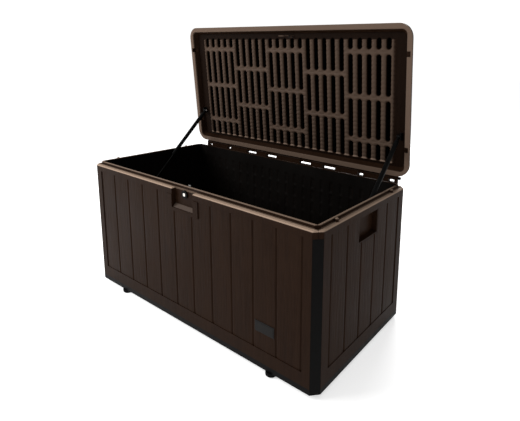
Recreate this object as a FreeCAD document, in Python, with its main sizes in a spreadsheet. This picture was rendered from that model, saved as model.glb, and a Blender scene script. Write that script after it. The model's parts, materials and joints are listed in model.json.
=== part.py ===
import FreeCAD, Part
import os
import math
import Sketcher

# Deck storage box of blow-moulded twin-wall panels, lid open on two gas struts.
# Millimetres. Origin at the middle of the footprint on the ground, +Z up, front towards -Y.

doc = FreeCAD.newDocument("DeckStorageBox")
sheet = doc.addObject("Spreadsheet::Sheet", "Sizes")

SIZES = [
    ("boxLength", 1220, "outside length of the body"),
    ("boxDepth", 566, "outside depth of the body"),
    ("footHeight", 16, "feet below the base"),
    ("baseHeight", 19, "edge of the base panel"),
    ("wallHeight", 508, "wall from the base to the ledge that the lid rests on"),
    ("wallThickness", 27, "twin wall, outer face to inner face"),
    ("skin", 3.5, "moulded skin"),
    ("seamGap", 0.4, "gap at a mitred corner of the rim"),
    ("fitGap", 0.3, "clearance where a piece slots into another"),
    ("ridgeRise", 12, "inner ridge above the ledge"),
    ("ridgeWidth", 8, "inner ridge"),
    ("channelWidth", 4, "rain channel beside the ridge"),
    ("channelDepth", 3, "rain channel"),
    ("rimEdge", 3, "broken outer edge of the rim"),
    ("ridgeEdge", 1.5, "broken edge of the ridge"),
    ("ridgeCornerCut", 12, "leg of the ridge's cut corner"),
    ("cornerCut", 24, "leg of the cut corner"),
    ("tongueNear", 8, "near side of a post's tongue from the outer face"),
    ("tongueFar", 18, "far side of a post's tongue from the outer face"),
    ("tongueReach", 20, "tongue into the wall's end"),
    ("rimBand", 24, "plain band under the ledge"),
    ("lowerBand", 47, "plain band above the base"),
    ("plankBorderLong", 36, "cut corner to first groove, front and back"),
    ("plankBorderSide", 40.5, "cut corner to first groove, sides"),
    ("planksLong", 11, "planks on the front and back"),
    ("planksSide", 5, "planks on each side"),
    ("fieldRecess", 2.5, "plank faces behind the frame around them"),
    ("grooveWidth", 9, "groove between planks at the surface"),
    ("grooveFloor", 3, "floor of the groove"),
    ("grooveDepth", 3, "groove below the plank faces"),
    ("wallSlotWidth", 16, "shallow slots on the inner face"),
    ("wallSlotDepth", 2, "shallow slots"),
    ("wallSlotMargin", 32, "slots from the wall's foot and from the rim band"),
    ("wallSlotBridge", 26, "plain bridge between two slots"),
    ("upstandHeight", 18, "lip of the base inside the walls"),
    ("upstandThickness", 5, "lip of the base"),
    ("floorCells", 12, "hollow cells of the base panel"),
    ("footRadius", 22, "foot"),
    ("footStudRadius", 5, "stud of the foot"),
    ("footStudLength", 10, "stud of the foot"),
    ("footEdge", 4, "broken lower edge of the foot"),
    ("footTopEdge", 1, "broken upper edge of the foot"),
    ("footInsetLong", 190, "foot centre from the end of the box"),
    ("footInsetSide", 16, "foot centre from the front or back"),
    ("screwRadius", 2.1, "base screw"),
    ("screwHeadRadius", 4.5, "base screw head"),
    ("screwHeadHeight", 3, "base screw head"),
    ("screwGrip", 26, "base screw inside the wall"),
    ("handleWidth", 119, "hand pocket"),
    ("handleHeight", 82, "hand pocket"),
    ("handleDepth", 22, "hand pocket"),
    ("handleBelowLedge", 27, "top of the hand pocket below the ledge"),
    ("pocketWidth", 120, "latch pocket"),
    ("pocketHeight", 72, "latch pocket below the ledge"),
    ("pocketDepth", 15, "latch pocket"),
    ("bezelWidth", 26, "raised frame beside the latch pocket"),
    ("bezelRise", 1.6, "raised frame"),
    ("lockBelowLedge", 17, "lock axis below the ledge"),
    ("lockBezelRadius", 15, "lock bezel"),
    ("lockBezelHeight", 5, "lock bezel"),
    ("lockBarrelRadius", 9.5, "threaded barrel"),
    ("lockPlugRadius", 6, "key plug"),
    ("lockPlugProud", 1, "key plug in front of the bezel"),
    ("turnGap", 0.08, "running clearance of a turning fit"),
    ("nutThickness", 6, "lock nut"),
    ("nutAcross", 12, "lock nut, centre to corner"),
    ("camThickness", 2.5, "lock cam"),
    ("camBore", 2.5, "screw bore of the cam, radius"),
    ("camHub", 8, "round of the cam about the lock axis"),
    ("camScrewHead", 5, "cam screw head, radius"),
    ("camScrewHeight", 2.4, "cam screw head"),
    ("keyWidth", 1.6, "key slot"),
    ("keyHeight", 7, "key slot"),
    ("keyDepth", 6, "key slot"),
    ("camReach", 30, "lock cam from the axis to the tip"),
    ("camWidth", 12, "lock cam"),
    ("badgeWidth", 84, "blank badge"),
    ("badgeHeight", 38, "blank badge"),
    ("badgeThickness", 1.5, "blank badge"),
    ("badgeCorner", 4, "rounded corner of the badge"),
    ("badgeBottom", 144, "blank badge above the ground"),
    ("hingeBehind", 22, "hinge axis behind the back face"),
    ("hingeAbove", 21, "hinge axis above the ledge"),
    ("rodRadius", 4, "hinge rod"),
    ("knuckleRadius", 9, "hinge knuckle"),
    ("earWidth", 12, "outermost knuckle of the back wall"),
    ("saddleRise", 4, "hinge rail above the ledge, under a lug of the lid"),
    ("lipPass", 1.5, "hinge webs from the lid's lip as it swings past"),
    ("lugNarrow", 25, "narrow lug of the lid"),
    ("lugWide", 66, "wide lug of the lid"),
    ("lugGap", 0.6, "side clearance of a lug"),
    ("stationOuter", 70, "narrow hinge from the end of the box"),
    ("stationNext", 213, "narrow hinge from the end of the box"),
    ("stationWide", 375, "wide hinge from the end of the box"),
    ("stationInner", 103, "wide hinge from the middle"),
    ("rodCapLength", 8, "push-on cap of a rod"),
    ("rodCapEnd", 2, "closed end and side of a cap"),
    ("openAngle", 85.5, "lid angle on its struts"),
    ("lidOverhang", 7.5, "lid beyond the body, all round"),
    ("lidGap", 0.8, "lid above the ledge when shut"),
    ("lidHeight", 57, "lid"),
    ("lidBand", 9, "upright edge of the lid"),
    ("lidSlope", 27, "inset of the lid's top"),
    ("lidCornerRadius", 52, "lid corner in plan"),
    ("lidTopRadius", 30, "corner of the lid's top in plan"),
    ("lipClear", 6.5, "lip from the ridge, lid shut"),
    ("backLipClear", 9, "lip from the ridge along the hinge"),
    ("ribFaceOverlap", 2.5, "ribbed face over the wall"),
    ("recessRadius", 20, "corner of the recess inside the lip"),
    ("ribFaceDepth", 25.4, "ribbed face above the lip's edge"),
    ("slotSideMargin", 96.4, "middle of the last slot from the end of the box"),
    ("slotWidth", 18, "slots of the lid"),
    ("slotColumns", 5, "slots side by side in a block"),
    ("slotBlocks", 5, "blocks of slots"),
    ("slotMarginFront", 45, "slot field from the front of the box"),
    ("slotMarginBack", 37, "slot field from the back of the box"),
    ("crossbarInset", 52.7, "first crossbar from the front of the slot field"),
    ("crossbarInsetBack", 74.5, "last crossbar from the back of the slot field"),
    ("crossbarHalf", 11.5, "half of a crossbar"),
    ("pegSpread", 180, "locating peg from the middle"),
    ("pegRadius", 6, "locating peg"),
    ("pegHeight", 13, "locating peg"),
    ("pegFromInside", 16, "peg axis from the wall's inner face"),
    ("notchWidth", 20, "notch of the lip over a peg"),
    ("notchReach", 14, "notch from the lip's inner edge"),
    ("strikeWidth", 10, "arm of the lock strike"),
    ("strikeToe", 17, "toe of the lock strike"),
    ("strikeThickness", 2.5, "lock strike"),
    ("strikePast", 3, "arm of the strike beyond the turned cam's tip"),
    ("strikeUnder", 1, "toe of the strike below the turned cam"),
    ("strikeScrewHead", 3.5, "strike screw head, radius"),
    ("strikeScrewHeight", 2, "strike screw head"),
    ("strutAlong", 172, "strut stud in front of the hinge axis, lid shut"),
    ("strutDrop", 11.5, "strut stud below the ribbed face"),
    ("strutInset", 44, "strut plane from the outside of the end wall"),
    ("anchorForward", 416, "lower strut stud in front of the hinge axis"),
    ("anchorBelow", 204, "lower strut stud below the ledge"),
    ("ballRadius", 5, "ball stud"),
    ("ballNeck", 3, "neck of the ball stud"),
    ("socketRadius", 8, "ball socket"),
    ("socketTrim", 1, "flat cut off each end of the socket's barrel"),
    ("socketNeck", 6, "neck between the socket and the strut, radius"),
    ("neckClear", 0.5, "neck of the socket from the ball"),
    ("mouthClear", 1.2, "mouth of the socket around the stud's neck"),
    ("socketReach", 22, "ball centre to the end of the tube"),
    ("tubeRadius", 9, "gas strut tube"),
    ("tubeWall", 1.2, "gas strut tube"),
    ("tubeEdge", 2, "sloped shoulder at the end of the tube"),
    ("tubeLength", 268, "gas strut tube"),
    ("sealLength", 10, "seal at the mouth of the tube"),
    ("pistonRodRadius", 4, "gas strut rod"),
    ("pistonLength", 8, "piston in the tube"),
    ("pistonPlay", 1, "piston from the seal at full length"),
    ("bracketThickness", 3, "strut bracket"),
    ("bracketFlange", 2, "flange of the lid bracket"),
    ("bracketEdge", 1, "lid bracket below the ball"),
    ("studBite", 1, "stud sunk into its plate"),
    ("wallStud", 4.5, "stud of the wall bracket, radius"),
    ("bracketScrewHead", 4, "wall bracket screw head, radius"),
    ("bracketScrewHeight", 2.2, "wall bracket screw head"),
    ("bracketHalf", 14, "strut bracket"),
]

for row, (alias, number, note) in enumerate(SIZES, start=1):
    sheet.set(f"A{row}", note)
    sheet.set(f"B{row}", str(number))
    sheet.setAlias(f"B{row}", alias)
doc.recompute()


def size(alias):
    return float(getattr(sheet, alias))


def ex(text):
    """An expression over the sheet: each @word is one of its cells."""
    return text.replace("@", "Sizes.")


LEDGE = "(@footHeight + @baseHeight + @wallHeight)"
LIPWIDTH = "(@wallThickness - @ridgeWidth + @lidOverhang - @lipClear)"
BACKLIP = "(@wallThickness - @ridgeWidth + @lidOverhang - @backLipClear)"
LIPFOOT = "(@wallThickness + @lidOverhang - @ribFaceOverlap)"
LIP = f"({LEDGE} + @lidGap)"
RIBFACE = f"({LIP} + @ribFaceDepth)"
LIDTOP = f"({LIP} + @lidHeight)"
HINGE_Y = "(@boxDepth / 2 + @hingeBehind)"
HINGE_Z = f"({LEDGE} + @hingeAbove)"
SLOTPITCH = "((@boxLength - 2 * @slotSideMargin) / (@slotColumns * @slotBlocks - 1))"
FIELDFRONT = "(@boxDepth / 2 - @slotMarginFront)"
FIELDBACK = "(@boxDepth / 2 - @slotMarginBack)"
BARPITCH = f"(({FIELDFRONT} + {FIELDBACK} - @crossbarInset - @crossbarInsetBack) / 2)"
SPILL = "30"  # how far a cutting outline runs past the edge that it cuts
STRUT_X = "(@boxLength / 2 - @strutInset)"
STUD_Y = f"({HINGE_Y} - @strutAlong)"
STUD_Z = f"({RIBFACE} - @strutDrop)"
ANCHOR_Y = f"({HINGE_Y} - @anchorForward)"
ANCHOR_Z = f"({LEDGE} - @anchorBelow)"


def strut_points():
    """Upper ball with the lid open, and lower ball, both in the plane of the strut."""
    upper = FreeCAD.Vector(0, float(sheet.evalExpression(ex(STUD_Y))),
                           float(sheet.evalExpression(ex(STUD_Z))))
    lower = FreeCAD.Vector(0, float(sheet.evalExpression(ex(ANCHOR_Y))),
                           float(sheet.evalExpression(ex(ANCHOR_Z))))
    return lid_open().multVec(upper), lower


def lid_open():
    """From the shut position, where lid pieces are drawn, to the open one."""
    centre = FreeCAD.Vector(0, size("boxDepth") / 2 + size("hingeBehind"), hinge_level())
    turn = FreeCAD.Rotation(FreeCAD.Vector(1, 0, 0), -size("openAngle"))
    return FreeCAD.Placement(FreeCAD.Vector(), turn, centre)


def hinge_level():
    return size("footHeight") + size("baseHeight") + size("wallHeight") + size("hingeAbove")


def add_piston_reach():
    """At full length the piston stands against the seal at the tube's mouth."""
    upper, lower = strut_points()
    sheet.set(f"A{len(SIZES) + 1}", "piston face from the lower ball at full length")
    sheet.set(f"B{len(SIZES) + 1}", str(round(lower.sub(upper).Length - size("socketReach")
                                              - size("tubeLength") + size("sealLength"), 3)))
    sheet.setAlias(f"B{len(SIZES) + 1}", "pistonAt")
    doc.recompute()


add_piston_reach()
nodes = []


# ---- sketches and features -------------------------------------------------

def new_body(name):
    return doc.addObject("PartDesign::Body", name)


def sketch(body, role, offset=None):
    plane = [item for item in body.Origin.OriginFeatures if item.Role == role][0]
    made = body.newObject("Sketcher::SketchObject", body.Name + "_sketch")
    made.AttachmentSupport = [(plane, "")]
    made.MapMode = "FlatFace"
    if offset:
        made.setExpression("AttachmentOffset.Base.z", ex(offset))
    return made


def pin_point(target, index, end, across, up):
    for kind, text in (("DistanceX", across), ("DistanceY", up)):
        if text is None:
            continue
        value = target.evalExpression(ex(text))
        number = target.addConstraint(Sketcher.Constraint(kind, -1, 1, index, end, float(value)))
        target.setExpression(f"Constraints[{number}]", ex(text))


def line(target, start, finish):
    ends = [FreeCAD.Vector(*[float(target.evalExpression(ex(t))) for t in point], 0)
            for point in (start, finish)]
    return target.addGeometry(Part.LineSegment(*ends), False)


def outline(target, points):
    """A closed outline of straight lines through points given as expressions."""
    count = len(points)
    edges = [line(target, points[i], points[(i + 1) % count]) for i in range(count)]
    for i, edge in enumerate(edges):
        target.addConstraint(Sketcher.Constraint("Coincident", edge, 2, edges[(i + 1) % count], 1))
        pin_point(target, edge, 1, *points[i])


def rectangle(target, left, right, low, high):
    outline(target, [(left, low), (right, low), (right, high), (left, high)])


def circle(target, across, up, radius):
    centre = [float(target.evalExpression(ex(text))) for text in (across, up)]
    value = float(target.evalExpression(ex(radius)))
    index = target.addGeometry(Part.Circle(FreeCAD.Vector(*centre, 0), FreeCAD.Vector(0, 0, 1), value), False)
    number = target.addConstraint(Sketcher.Constraint("Radius", index, value))
    target.setExpression(f"Constraints[{number}]", ex(radius))
    pin_point(target, index, 3, across, up)


def corner_arc(target, before, after, middle, start, finish):
    """A quarter or half turn from the end of one line to the start of the next."""
    centre = [float(target.evalExpression(ex(text))) for text in middle]
    first = [float(target.evalExpression(ex(text))) for text in start]
    radius = math.hypot(first[0] - centre[0], first[1] - centre[1])
    turn = Part.Circle(FreeCAD.Vector(*centre, 0), FreeCAD.Vector(0, 0, 1), radius)
    angles = []
    for point in (start, finish):
        place = [float(target.evalExpression(ex(text))) for text in point]
        angles.append(math.atan2(place[1] - centre[1], place[0] - centre[0]))
    if angles[1] < angles[0]:
        angles[1] += 2 * math.pi
    index = target.addGeometry(Part.ArcOfCircle(turn, *angles), False)
    target.addConstraint(Sketcher.Constraint("Coincident", before, 2, index, 1))
    target.addConstraint(Sketcher.Constraint("Coincident", index, 2, after, 1))
    return index


def rounded_rectangle(target, left, right, low, high, radius):
    """Counter-clockwise: four straight sides and four quarter turns."""
    sides = [
        ((f"{left} + {radius}", low), (f"{right} - {radius}", low)),
        ((right, f"{low} + {radius}"), (right, f"{high} - {radius}")),
        ((f"{right} - {radius}", high), (f"{left} + {radius}", high)),
        ((left, f"{high} - {radius}"), (left, f"{low} + {radius}")),
    ]
    middles = [
        (f"{right} - {radius}", f"{low} + {radius}"),
        (f"{right} - {radius}", f"{high} - {radius}"),
        (f"{left} + {radius}", f"{high} - {radius}"),
        (f"{left} + {radius}", f"{low} + {radius}"),
    ]
    edges = [line(target, *ends) for ends in sides]
    for i in range(4):
        follow = (i + 1) % 4
        arc = corner_arc(target, edges[i], edges[follow], middles[i], sides[i][1], sides[follow][0])
        pin_point(target, arc, 3, middles[i][0], None)
        for end in (1, 2):
            pin_point(target, edges[i], end, *sides[i][end - 1])


def rounded_slot(target, middle, low, high, width):
    """Counter-clockwise: two straight sides along Y and two half turns."""
    left = f"{middle} - {width} / 2"
    right = f"{middle} + {width} / 2"
    foot = f"{low} + {width} / 2"
    head = f"{high} - {width} / 2"
    sides = [((right, foot), (right, head)), ((left, head), (left, foot))]
    edges = [line(target, *ends) for ends in sides]
    for i, level in enumerate((head, foot)):
        arc = corner_arc(target, edges[i], edges[1 - i], (middle, level), sides[i][1], sides[1 - i][0])
        pin_point(target, arc, 3, None, level)
        for end in (1, 2):
            pin_point(target, edges[i], end, *sides[i][end - 1])


def feature(body, kind, profile, length=None, reverse=False, middle=False):
    """A pad or pocket; a pocket that removes nothing stops the build."""
    made = body.newObject("PartDesign::" + kind, body.Name + "_" + kind.lower())
    made.Profile = profile
    made.Reversed = reverse
    made.Midplane = middle
    if length:
        made.setExpression("Length", ex(length))
    else:
        made.Type = 1
    doc.recompute()
    if kind == "Pocket" and made.Shape.Volume > made.BaseFeature.Shape.Volume - 1:
        raise RuntimeError(f"{body.Label}: a pocket removes nothing")
    body.Tip = made
    return made


def pad(body, profile, length, reverse=False, middle=False):
    return feature(body, "Pad", profile, length, reverse, middle)


def pocket(body, profile, length=None, reverse=False, middle=False):
    return feature(body, "Pocket", profile, length, reverse, middle)


def repeat(body, made, count, span):
    """The same feature again and again along the sketch's own horizontal."""
    pattern = body.newObject("PartDesign::LinearPattern", made.Name + "_row")
    pattern.Originals = [made]
    pattern.Direction = (made.Profile[0], ["H_Axis"])
    pattern.setExpression("Length", ex(span))
    pattern.setExpression("Occurrences", ex(count))
    body.Tip = pattern
    doc.recompute()
    return pattern


def mirror_ends(body, made):
    plane = [item for item in body.Origin.OriginFeatures if item.Role == "YZ_Plane"][0]
    mirrored = body.newObject("PartDesign::Mirrored", made.Name + "_mirror")
    mirrored.Originals = [made]
    mirrored.MirrorPlane = (plane, [""])
    body.Tip = mirrored
    doc.recompute()
    return mirrored


def turned(body, points):
    """A piece turned about its own Z axis, from a half outline in X and Z."""
    half = sketch(body, "XZ_Plane")
    outline(half, points)
    axis = [item for item in body.Origin.OriginFeatures if item.Role == "Z_Axis"][0]
    made = body.newObject("PartDesign::Revolution", body.Name + "_turned")
    made.Profile = half
    made.ReferenceAxis = (axis, [""])
    body.Tip = made
    doc.recompute()
    return made


# ---- primitives ------------------------------------------------------------

def place(made, across, along, up):
    for axis, text in zip("xyz", (across, along, up)):
        made.setExpression("Placement.Base." + axis, ex(text))
    return made


def block(across, along, up, sizes):
    made = doc.addObject("Part::Box", "block")
    for name, text in zip(("Length", "Width", "Height"), sizes):
        made.setExpression(name, ex(text))
    return place(made, across, along, up)


def rod(across, along, up, radius, length, direction="Z"):
    made = doc.addObject("Part::Cylinder", "round")
    made.setExpression("Radius", ex(radius))
    made.setExpression("Height", ex(length))
    if direction == "X":
        made.Placement.Rotation = FreeCAD.Rotation(FreeCAD.Vector(0, 1, 0), 90)
    if direction == "Y":
        made.Placement.Rotation = FreeCAD.Rotation(FreeCAD.Vector(1, 0, 0), -90)
    return place(made, across, along, up)


def ball(across, along, up, radius):
    made = doc.addObject("Part::Sphere", "ball")
    made.setExpression("Radius", ex(radius))
    made.Placement.Rotation = FreeCAD.Rotation(FreeCAD.Vector(0, 1, 0), 90)
    return place(made, across, along, up)


def join(*pieces):
    made = doc.addObject("Part::MultiFuse", "joined")
    made.Shapes = list(pieces)
    return made


def take(base, tool):
    made = doc.addObject("Part::Cut", "cut")
    made.Base = base
    made.Tool = tool
    return made


def group(*pieces):
    made = doc.addObject("Part::Compound", "set")
    made.Links = list(pieces)
    return made


def node(made, name, placement=None):
    made.Label = name
    if placement:
        made.Placement = placement
    nodes.append(made)
    return made


# ---- walls -----------------------------------------------------------------

def wall(name, span, border, planks, ears=()):
    """X along the wall, Y inwards from the outer face, Z up from the base."""
    body = new_body(name)
    section = sketch(body, "YZ_Plane")
    ridge = "@wallThickness - @ridgeWidth"
    ledge = "@wallHeight"
    top = "@wallHeight + @ridgeRise"
    outline(section, [
        ("0", "0"),
        ("@wallThickness", "0"),
        ("@wallThickness", f"{top} - @ridgeEdge"),
        ("@wallThickness - @ridgeEdge", top),
        (f"{ridge} + @ridgeEdge", top),
        (ridge, f"{top} - @ridgeEdge"),
        (ridge, f"{ledge} - @channelDepth"),
        (f"{ridge} - @channelWidth", f"{ledge} - @channelDepth"),
        (f"{ridge} - @channelWidth", ledge),
        ("@rimEdge", ledge),
        ("0", f"{ledge} - @rimEdge"),
    ])
    pad(body, section, span, middle=True)
    if ears:
        ear_comb(body, ears)
    mitre(body, span)
    post_slot(body, span)
    plank_field(body, span, border, planks)
    return body


def mitre(body, span):
    end = f"{span} / 2 - @seamGap"
    cut = sketch(body, "XY_Plane")
    outline(cut, [
        (f"{end} - @cornerCut - {SPILL}", f"-{SPILL}"),
        (f"{end} + {SPILL}", f"-{SPILL}"),
        (f"{end} + {SPILL}", f"@wallThickness + {SPILL}"),
        (f"{end} - @wallThickness - {SPILL}", f"@wallThickness + {SPILL}"),
        (f"{end} - @cornerCut / 2", "@cornerCut / 2"),
    ])
    mirror_ends(body, pocket(body, cut, reverse=True))
    corner = "(@wallThickness - @ridgeWidth)"
    start = f"{end} - {corner} - @ridgeCornerCut"
    bevel = sketch(body, "XY_Plane", "@wallHeight")
    outline(bevel, [
        (start, "0"),
        (f"{end} + {SPILL}", "0"),
        (f"{end} + {SPILL}", f"2 * {corner} + @ridgeCornerCut + {SPILL}"),
        (start, corner),
    ])
    mirror_ends(body, pocket(body, bevel, "2 * @ridgeRise", reverse=True))


def post_slot(body, span):
    """Room for the corner post below the rim band, with a slot for its tongue."""
    end = f"{span} / 2 - @cornerCut"
    deep = f"{end} - @tongueReach - 2 * @fitGap"
    cut = sketch(body, "XY_Plane")
    outline(cut, [
        (deep, "@tongueNear - @fitGap"),
        (end, "@tongueNear - @fitGap"),
        (end, f"-{SPILL}"),
        (f"{end} + @cornerCut + {SPILL}", f"-{SPILL}"),
        (f"{end} + @cornerCut + {SPILL}", f"@wallThickness + {SPILL}"),
        (end, f"@wallThickness + {SPILL}"),
        (end, "@tongueFar + @fitGap"),
        (deep, "@tongueFar + @fitGap"),
    ])
    mirror_ends(body, pocket(body, cut, "@wallHeight - @rimBand", reverse=True))


def plank_field(body, span, border, planks):
    half = f"({span} / 2 - @cornerCut - {border})"
    pitch = f"(2 * {half} / {planks})"
    low = "@lowerBand"
    high = "@wallHeight - @rimBand"
    field = sketch(body, "XZ_Plane")
    rectangle(field, f"-{half}", half, low, high)
    pocket(body, field, "@fieldRecess")
    web = "(@grooveWidth / 2 + @skin)"
    hollow = sketch(body, "XZ_Plane", "-(@fieldRecess + @wallThickness) / 2")
    rectangle(hollow, f"-{half} + {web}", f"-{half} + {pitch} - {web}", "@skin", f"{high} - @skin")
    cell = pocket(body, hollow, "@wallThickness - @fieldRecess - 2 * @skin", middle=True)
    repeat(body, cell, planks, f"{pitch} * ({planks} - 1)")
    groove = sketch(body, "XY_Plane", low)
    outline(groove, [
        (f"-{half} - @grooveWidth / 2", f"-{SPILL}"),
        (f"-{half} + @grooveWidth / 2", f"-{SPILL}"),
        (f"-{half} + @grooveWidth / 2", "@fieldRecess"),
        (f"-{half} + @grooveFloor / 2", "@fieldRecess + @grooveDepth"),
        (f"-{half} - @grooveFloor / 2", "@fieldRecess + @grooveDepth"),
        (f"-{half} - @grooveWidth / 2", "@fieldRecess"),
    ])
    cut = pocket(body, groove, f"{high} - {low}", reverse=True)
    repeat(body, cut, f"{planks} + 1", f"2 * {half}")
    inner_slots(body, half, pitch, planks)


def inner_slots(body, half, pitch, planks):
    """Two shallow slots above each other, twice in each plank's width."""
    low = "@upstandHeight + @wallSlotMargin / 2"
    tall = "((@wallHeight - @rimBand - @upstandHeight - @wallSlotMargin - @wallSlotBridge) / 2)"
    inside = sketch(body, "XZ_Plane", "-@wallThickness")
    middle = f"-{half} + {pitch} / 4"
    for foot in (low, f"{low} + {tall} + @wallSlotBridge"):
        rectangle(inside, f"{middle} - @wallSlotWidth / 2", f"{middle} + @wallSlotWidth / 2",
                  foot, f"{foot} + {tall}")
    cut = pocket(body, inside, "@wallSlotDepth", reverse=True)
    repeat(body, cut, f"2 * {planks}", f"{pitch} * (2 * {planks} - 1) / 2")


def fill(body, left, right, low, high):
    """Solid plastic through the wall, where a pocket is moulded into it."""
    solid = sketch(body, "XZ_Plane", "-@fieldRecess")
    rectangle(solid, left, right, low, high)
    pad(body, solid, "@wallThickness - @fieldRecess - @wallSlotDepth", reverse=True)


def front_wall():
    body = wall("front_panel", "@boxLength", "@plankBorderLong", "@planksLong")
    half = "@pocketWidth / 2"
    low = "@wallHeight - @pocketHeight"
    fill(body, f"-{half} - @bezelWidth", f"{half} + @bezelWidth", f"{low} - @bezelWidth / 2",
         "@wallHeight - @rimBand")
    bezel = sketch(body, "XZ_Plane", "@bezelRise")
    rectangle(bezel, f"-{half} - @bezelWidth", f"{half} + @bezelWidth", f"{low} - @bezelWidth / 2",
              "@wallHeight - @rimBand")
    pad(body, bezel, "@bezelRise + @fieldRecess + @skin", reverse=True)
    opening = sketch(body, "XZ_Plane", f"{SPILL}")
    rectangle(opening, f"-{half}", half, low, f"@wallHeight + @ridgeRise + {SPILL}")
    pocket(body, opening, f"{SPILL} + @pocketDepth")
    bore = sketch(body, "XZ_Plane")
    circle(bore, "0", "@wallHeight - @lockBelowLedge", "@lockBarrelRadius + @fitGap")
    pocket(body, bore)
    base_screw_holes(body, "@boxLength", "@plankBorderLong", "@planksLong")
    return node(body, "front_panel", at_front())


def side_wall(name, placement):
    body = wall(name, "@boxDepth", "@plankBorderSide", "@planksSide")
    half = "@handleWidth / 2"
    high = "@wallHeight - @handleBelowLedge"
    low = f"{high} - @handleHeight"
    fill(body, f"-{half} - @skin", f"{half} + @skin", f"{low} - @skin", f"{high} + @skin")
    hand = sketch(body, "XZ_Plane", f"{SPILL}")
    rectangle(hand, f"-{half}", half, low, high)
    pocket(body, hand, f"{SPILL} + @handleDepth")
    base_screw_holes(body, "@boxDepth", "@plankBorderSide", "@planksSide")
    return node(body, name, placement)


def screw_line(span, border, planks):
    """Base screws stand in the solid webs, one plank in from each end and in between."""
    half = f"({span} / 2 - @cornerCut - {border})"
    pitch = f"(2 * {half} / {planks})"
    steps = [1, 4] if planks == "@planksSide" else [1, 4, 7, 10]
    return [f"(-{half} + {step} * {pitch})" for step in steps]


def base_screw_holes(body, span, border, planks):
    holes = sketch(body, "XY_Plane")
    for spot in screw_line(span, border, planks):
        circle(holes, spot, "@wallThickness / 2", "@screwRadius")
    pocket(body, holes, "@screwGrip + @fitGap", reverse=True)


def back_wall():
    body = wall("back_panel", "@boxLength", "@plankBorderLong", "@planksLong", hinge_ears())
    base_screw_holes(body, "@boxLength", "@plankBorderLong", "@planksLong")
    bore = sketch(body, "YZ_Plane", "-@boxLength / 2")
    circle(bore, "-@hingeBehind", "@wallHeight + @hingeAbove", "@rodRadius + @fitGap / 2")
    pocket(body, bore, "@boxLength", reverse=True)
    return node(body, "back_panel", at_back())


def hinge_ears():
    """Middle and width of every knuckle of the back wall: all the length between the lid's lugs."""
    lugs = sorted(hinge_stations(), key=lambda lug: float(sheet.evalExpression(ex(lug[0]))))
    first = f"({lugs[0][0]} - {lugs[0][1]} / 2 - @lugGap)"
    ears = [("0", f"2 * {first}")]
    for lug, following in zip(lugs, lugs[1:]):
        low = f"({lug[0]} + {lug[1]} / 2 + @lugGap)"
        high = f"({following[0]} - {following[1]} / 2 - @lugGap)"
        ears.append((f"(({low} + {high}) / 2)", f"({high} - {low})"))
    outer = f"({lugs[-1][0]} + {lugs[-1][1]} / 2 + @lugGap + @earWidth / 2)"
    ears.append((outer, "@earWidth"))
    mirrored = [(f"-{middle}", width) for middle, width in ears[1:]]
    return mirrored + ears


def hinge_stations():
    end = "@boxLength / 2"
    return [(f"({end} - @stationOuter)", "@lugNarrow"), (f"({end} - @stationNext)", "@lugNarrow"),
            (f"({end} - @stationWide)", "@lugWide"), ("@stationInner", "@lugWide")]


def comb(body, web_points, middle, teeth, level, near, far):
    """Hinge knuckles along X: one long moulding, cut away between its teeth."""
    teeth = sorted(teeth, key=lambda tooth: float(sheet.evalExpression(ex(tooth[0]))))
    reach = f"2 * ({teeth[-1][0]} + {teeth[-1][1]} / 2)"
    web = sketch(body, "YZ_Plane")
    outline(web, web_points)
    pad(body, web, reach, middle=True)
    knuckle = sketch(body, "YZ_Plane")
    circle(knuckle, *middle, "@knuckleRadius")
    pad(body, knuckle, reach, middle=True)
    gaps = sketch(body, "XY_Plane", level)
    for tooth, follow in zip(teeth, teeth[1:]):
        rectangle(gaps, f"({tooth[0]}) + {tooth[1]} / 2", f"({follow[0]}) - {follow[1]} / 2", near, far)
    pocket(body, gaps, "8 * @knuckleRadius", reverse=True)


def ear_comb(body, ears):
    """A rail from the rim band, behind the lid's lip, that rises to the knuckles between the lugs."""
    clear = "(@lidOverhang + @lipPass)"
    low = "@wallHeight - @rimBand"
    high = "(@wallHeight + @hingeAbove)"
    tip = "-@hingeBehind - @knuckleRadius * 0.85"
    web = [
        ("@skin", low),
        ("@skin", "@wallHeight - @rimEdge"),
        (f"-{clear}", "@wallHeight - @rimEdge"),
        (f"-{clear}", f"{high} - @knuckleRadius / 2"),
        ("-@hingeBehind", high),
        (tip, high),
        (tip, f"{high} - @knuckleRadius"),
        (f"-{clear}", low),
    ]
    comb(body, web, ("-@hingeBehind", high), ears, "@wallHeight + @saddleRise",
         "-@hingeBehind - 3 * @knuckleRadius", "0")


def at_wall(across, along, turn):
    up = size("footHeight") + size("baseHeight")
    return FreeCAD.Placement(FreeCAD.Vector(across, along, up),
                             FreeCAD.Rotation(FreeCAD.Vector(0, 0, 1), turn))


def at_front():
    return at_wall(0, -size("boxDepth") / 2, 0)


def at_back():
    return at_wall(0, size("boxDepth") / 2, 180)


def at_right():
    return at_wall(size("boxLength") / 2, 0, 90)


def at_left():
    return at_wall(-size("boxLength") / 2, 0, -90)


# ---- base, posts and feet --------------------------------------------------

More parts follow.
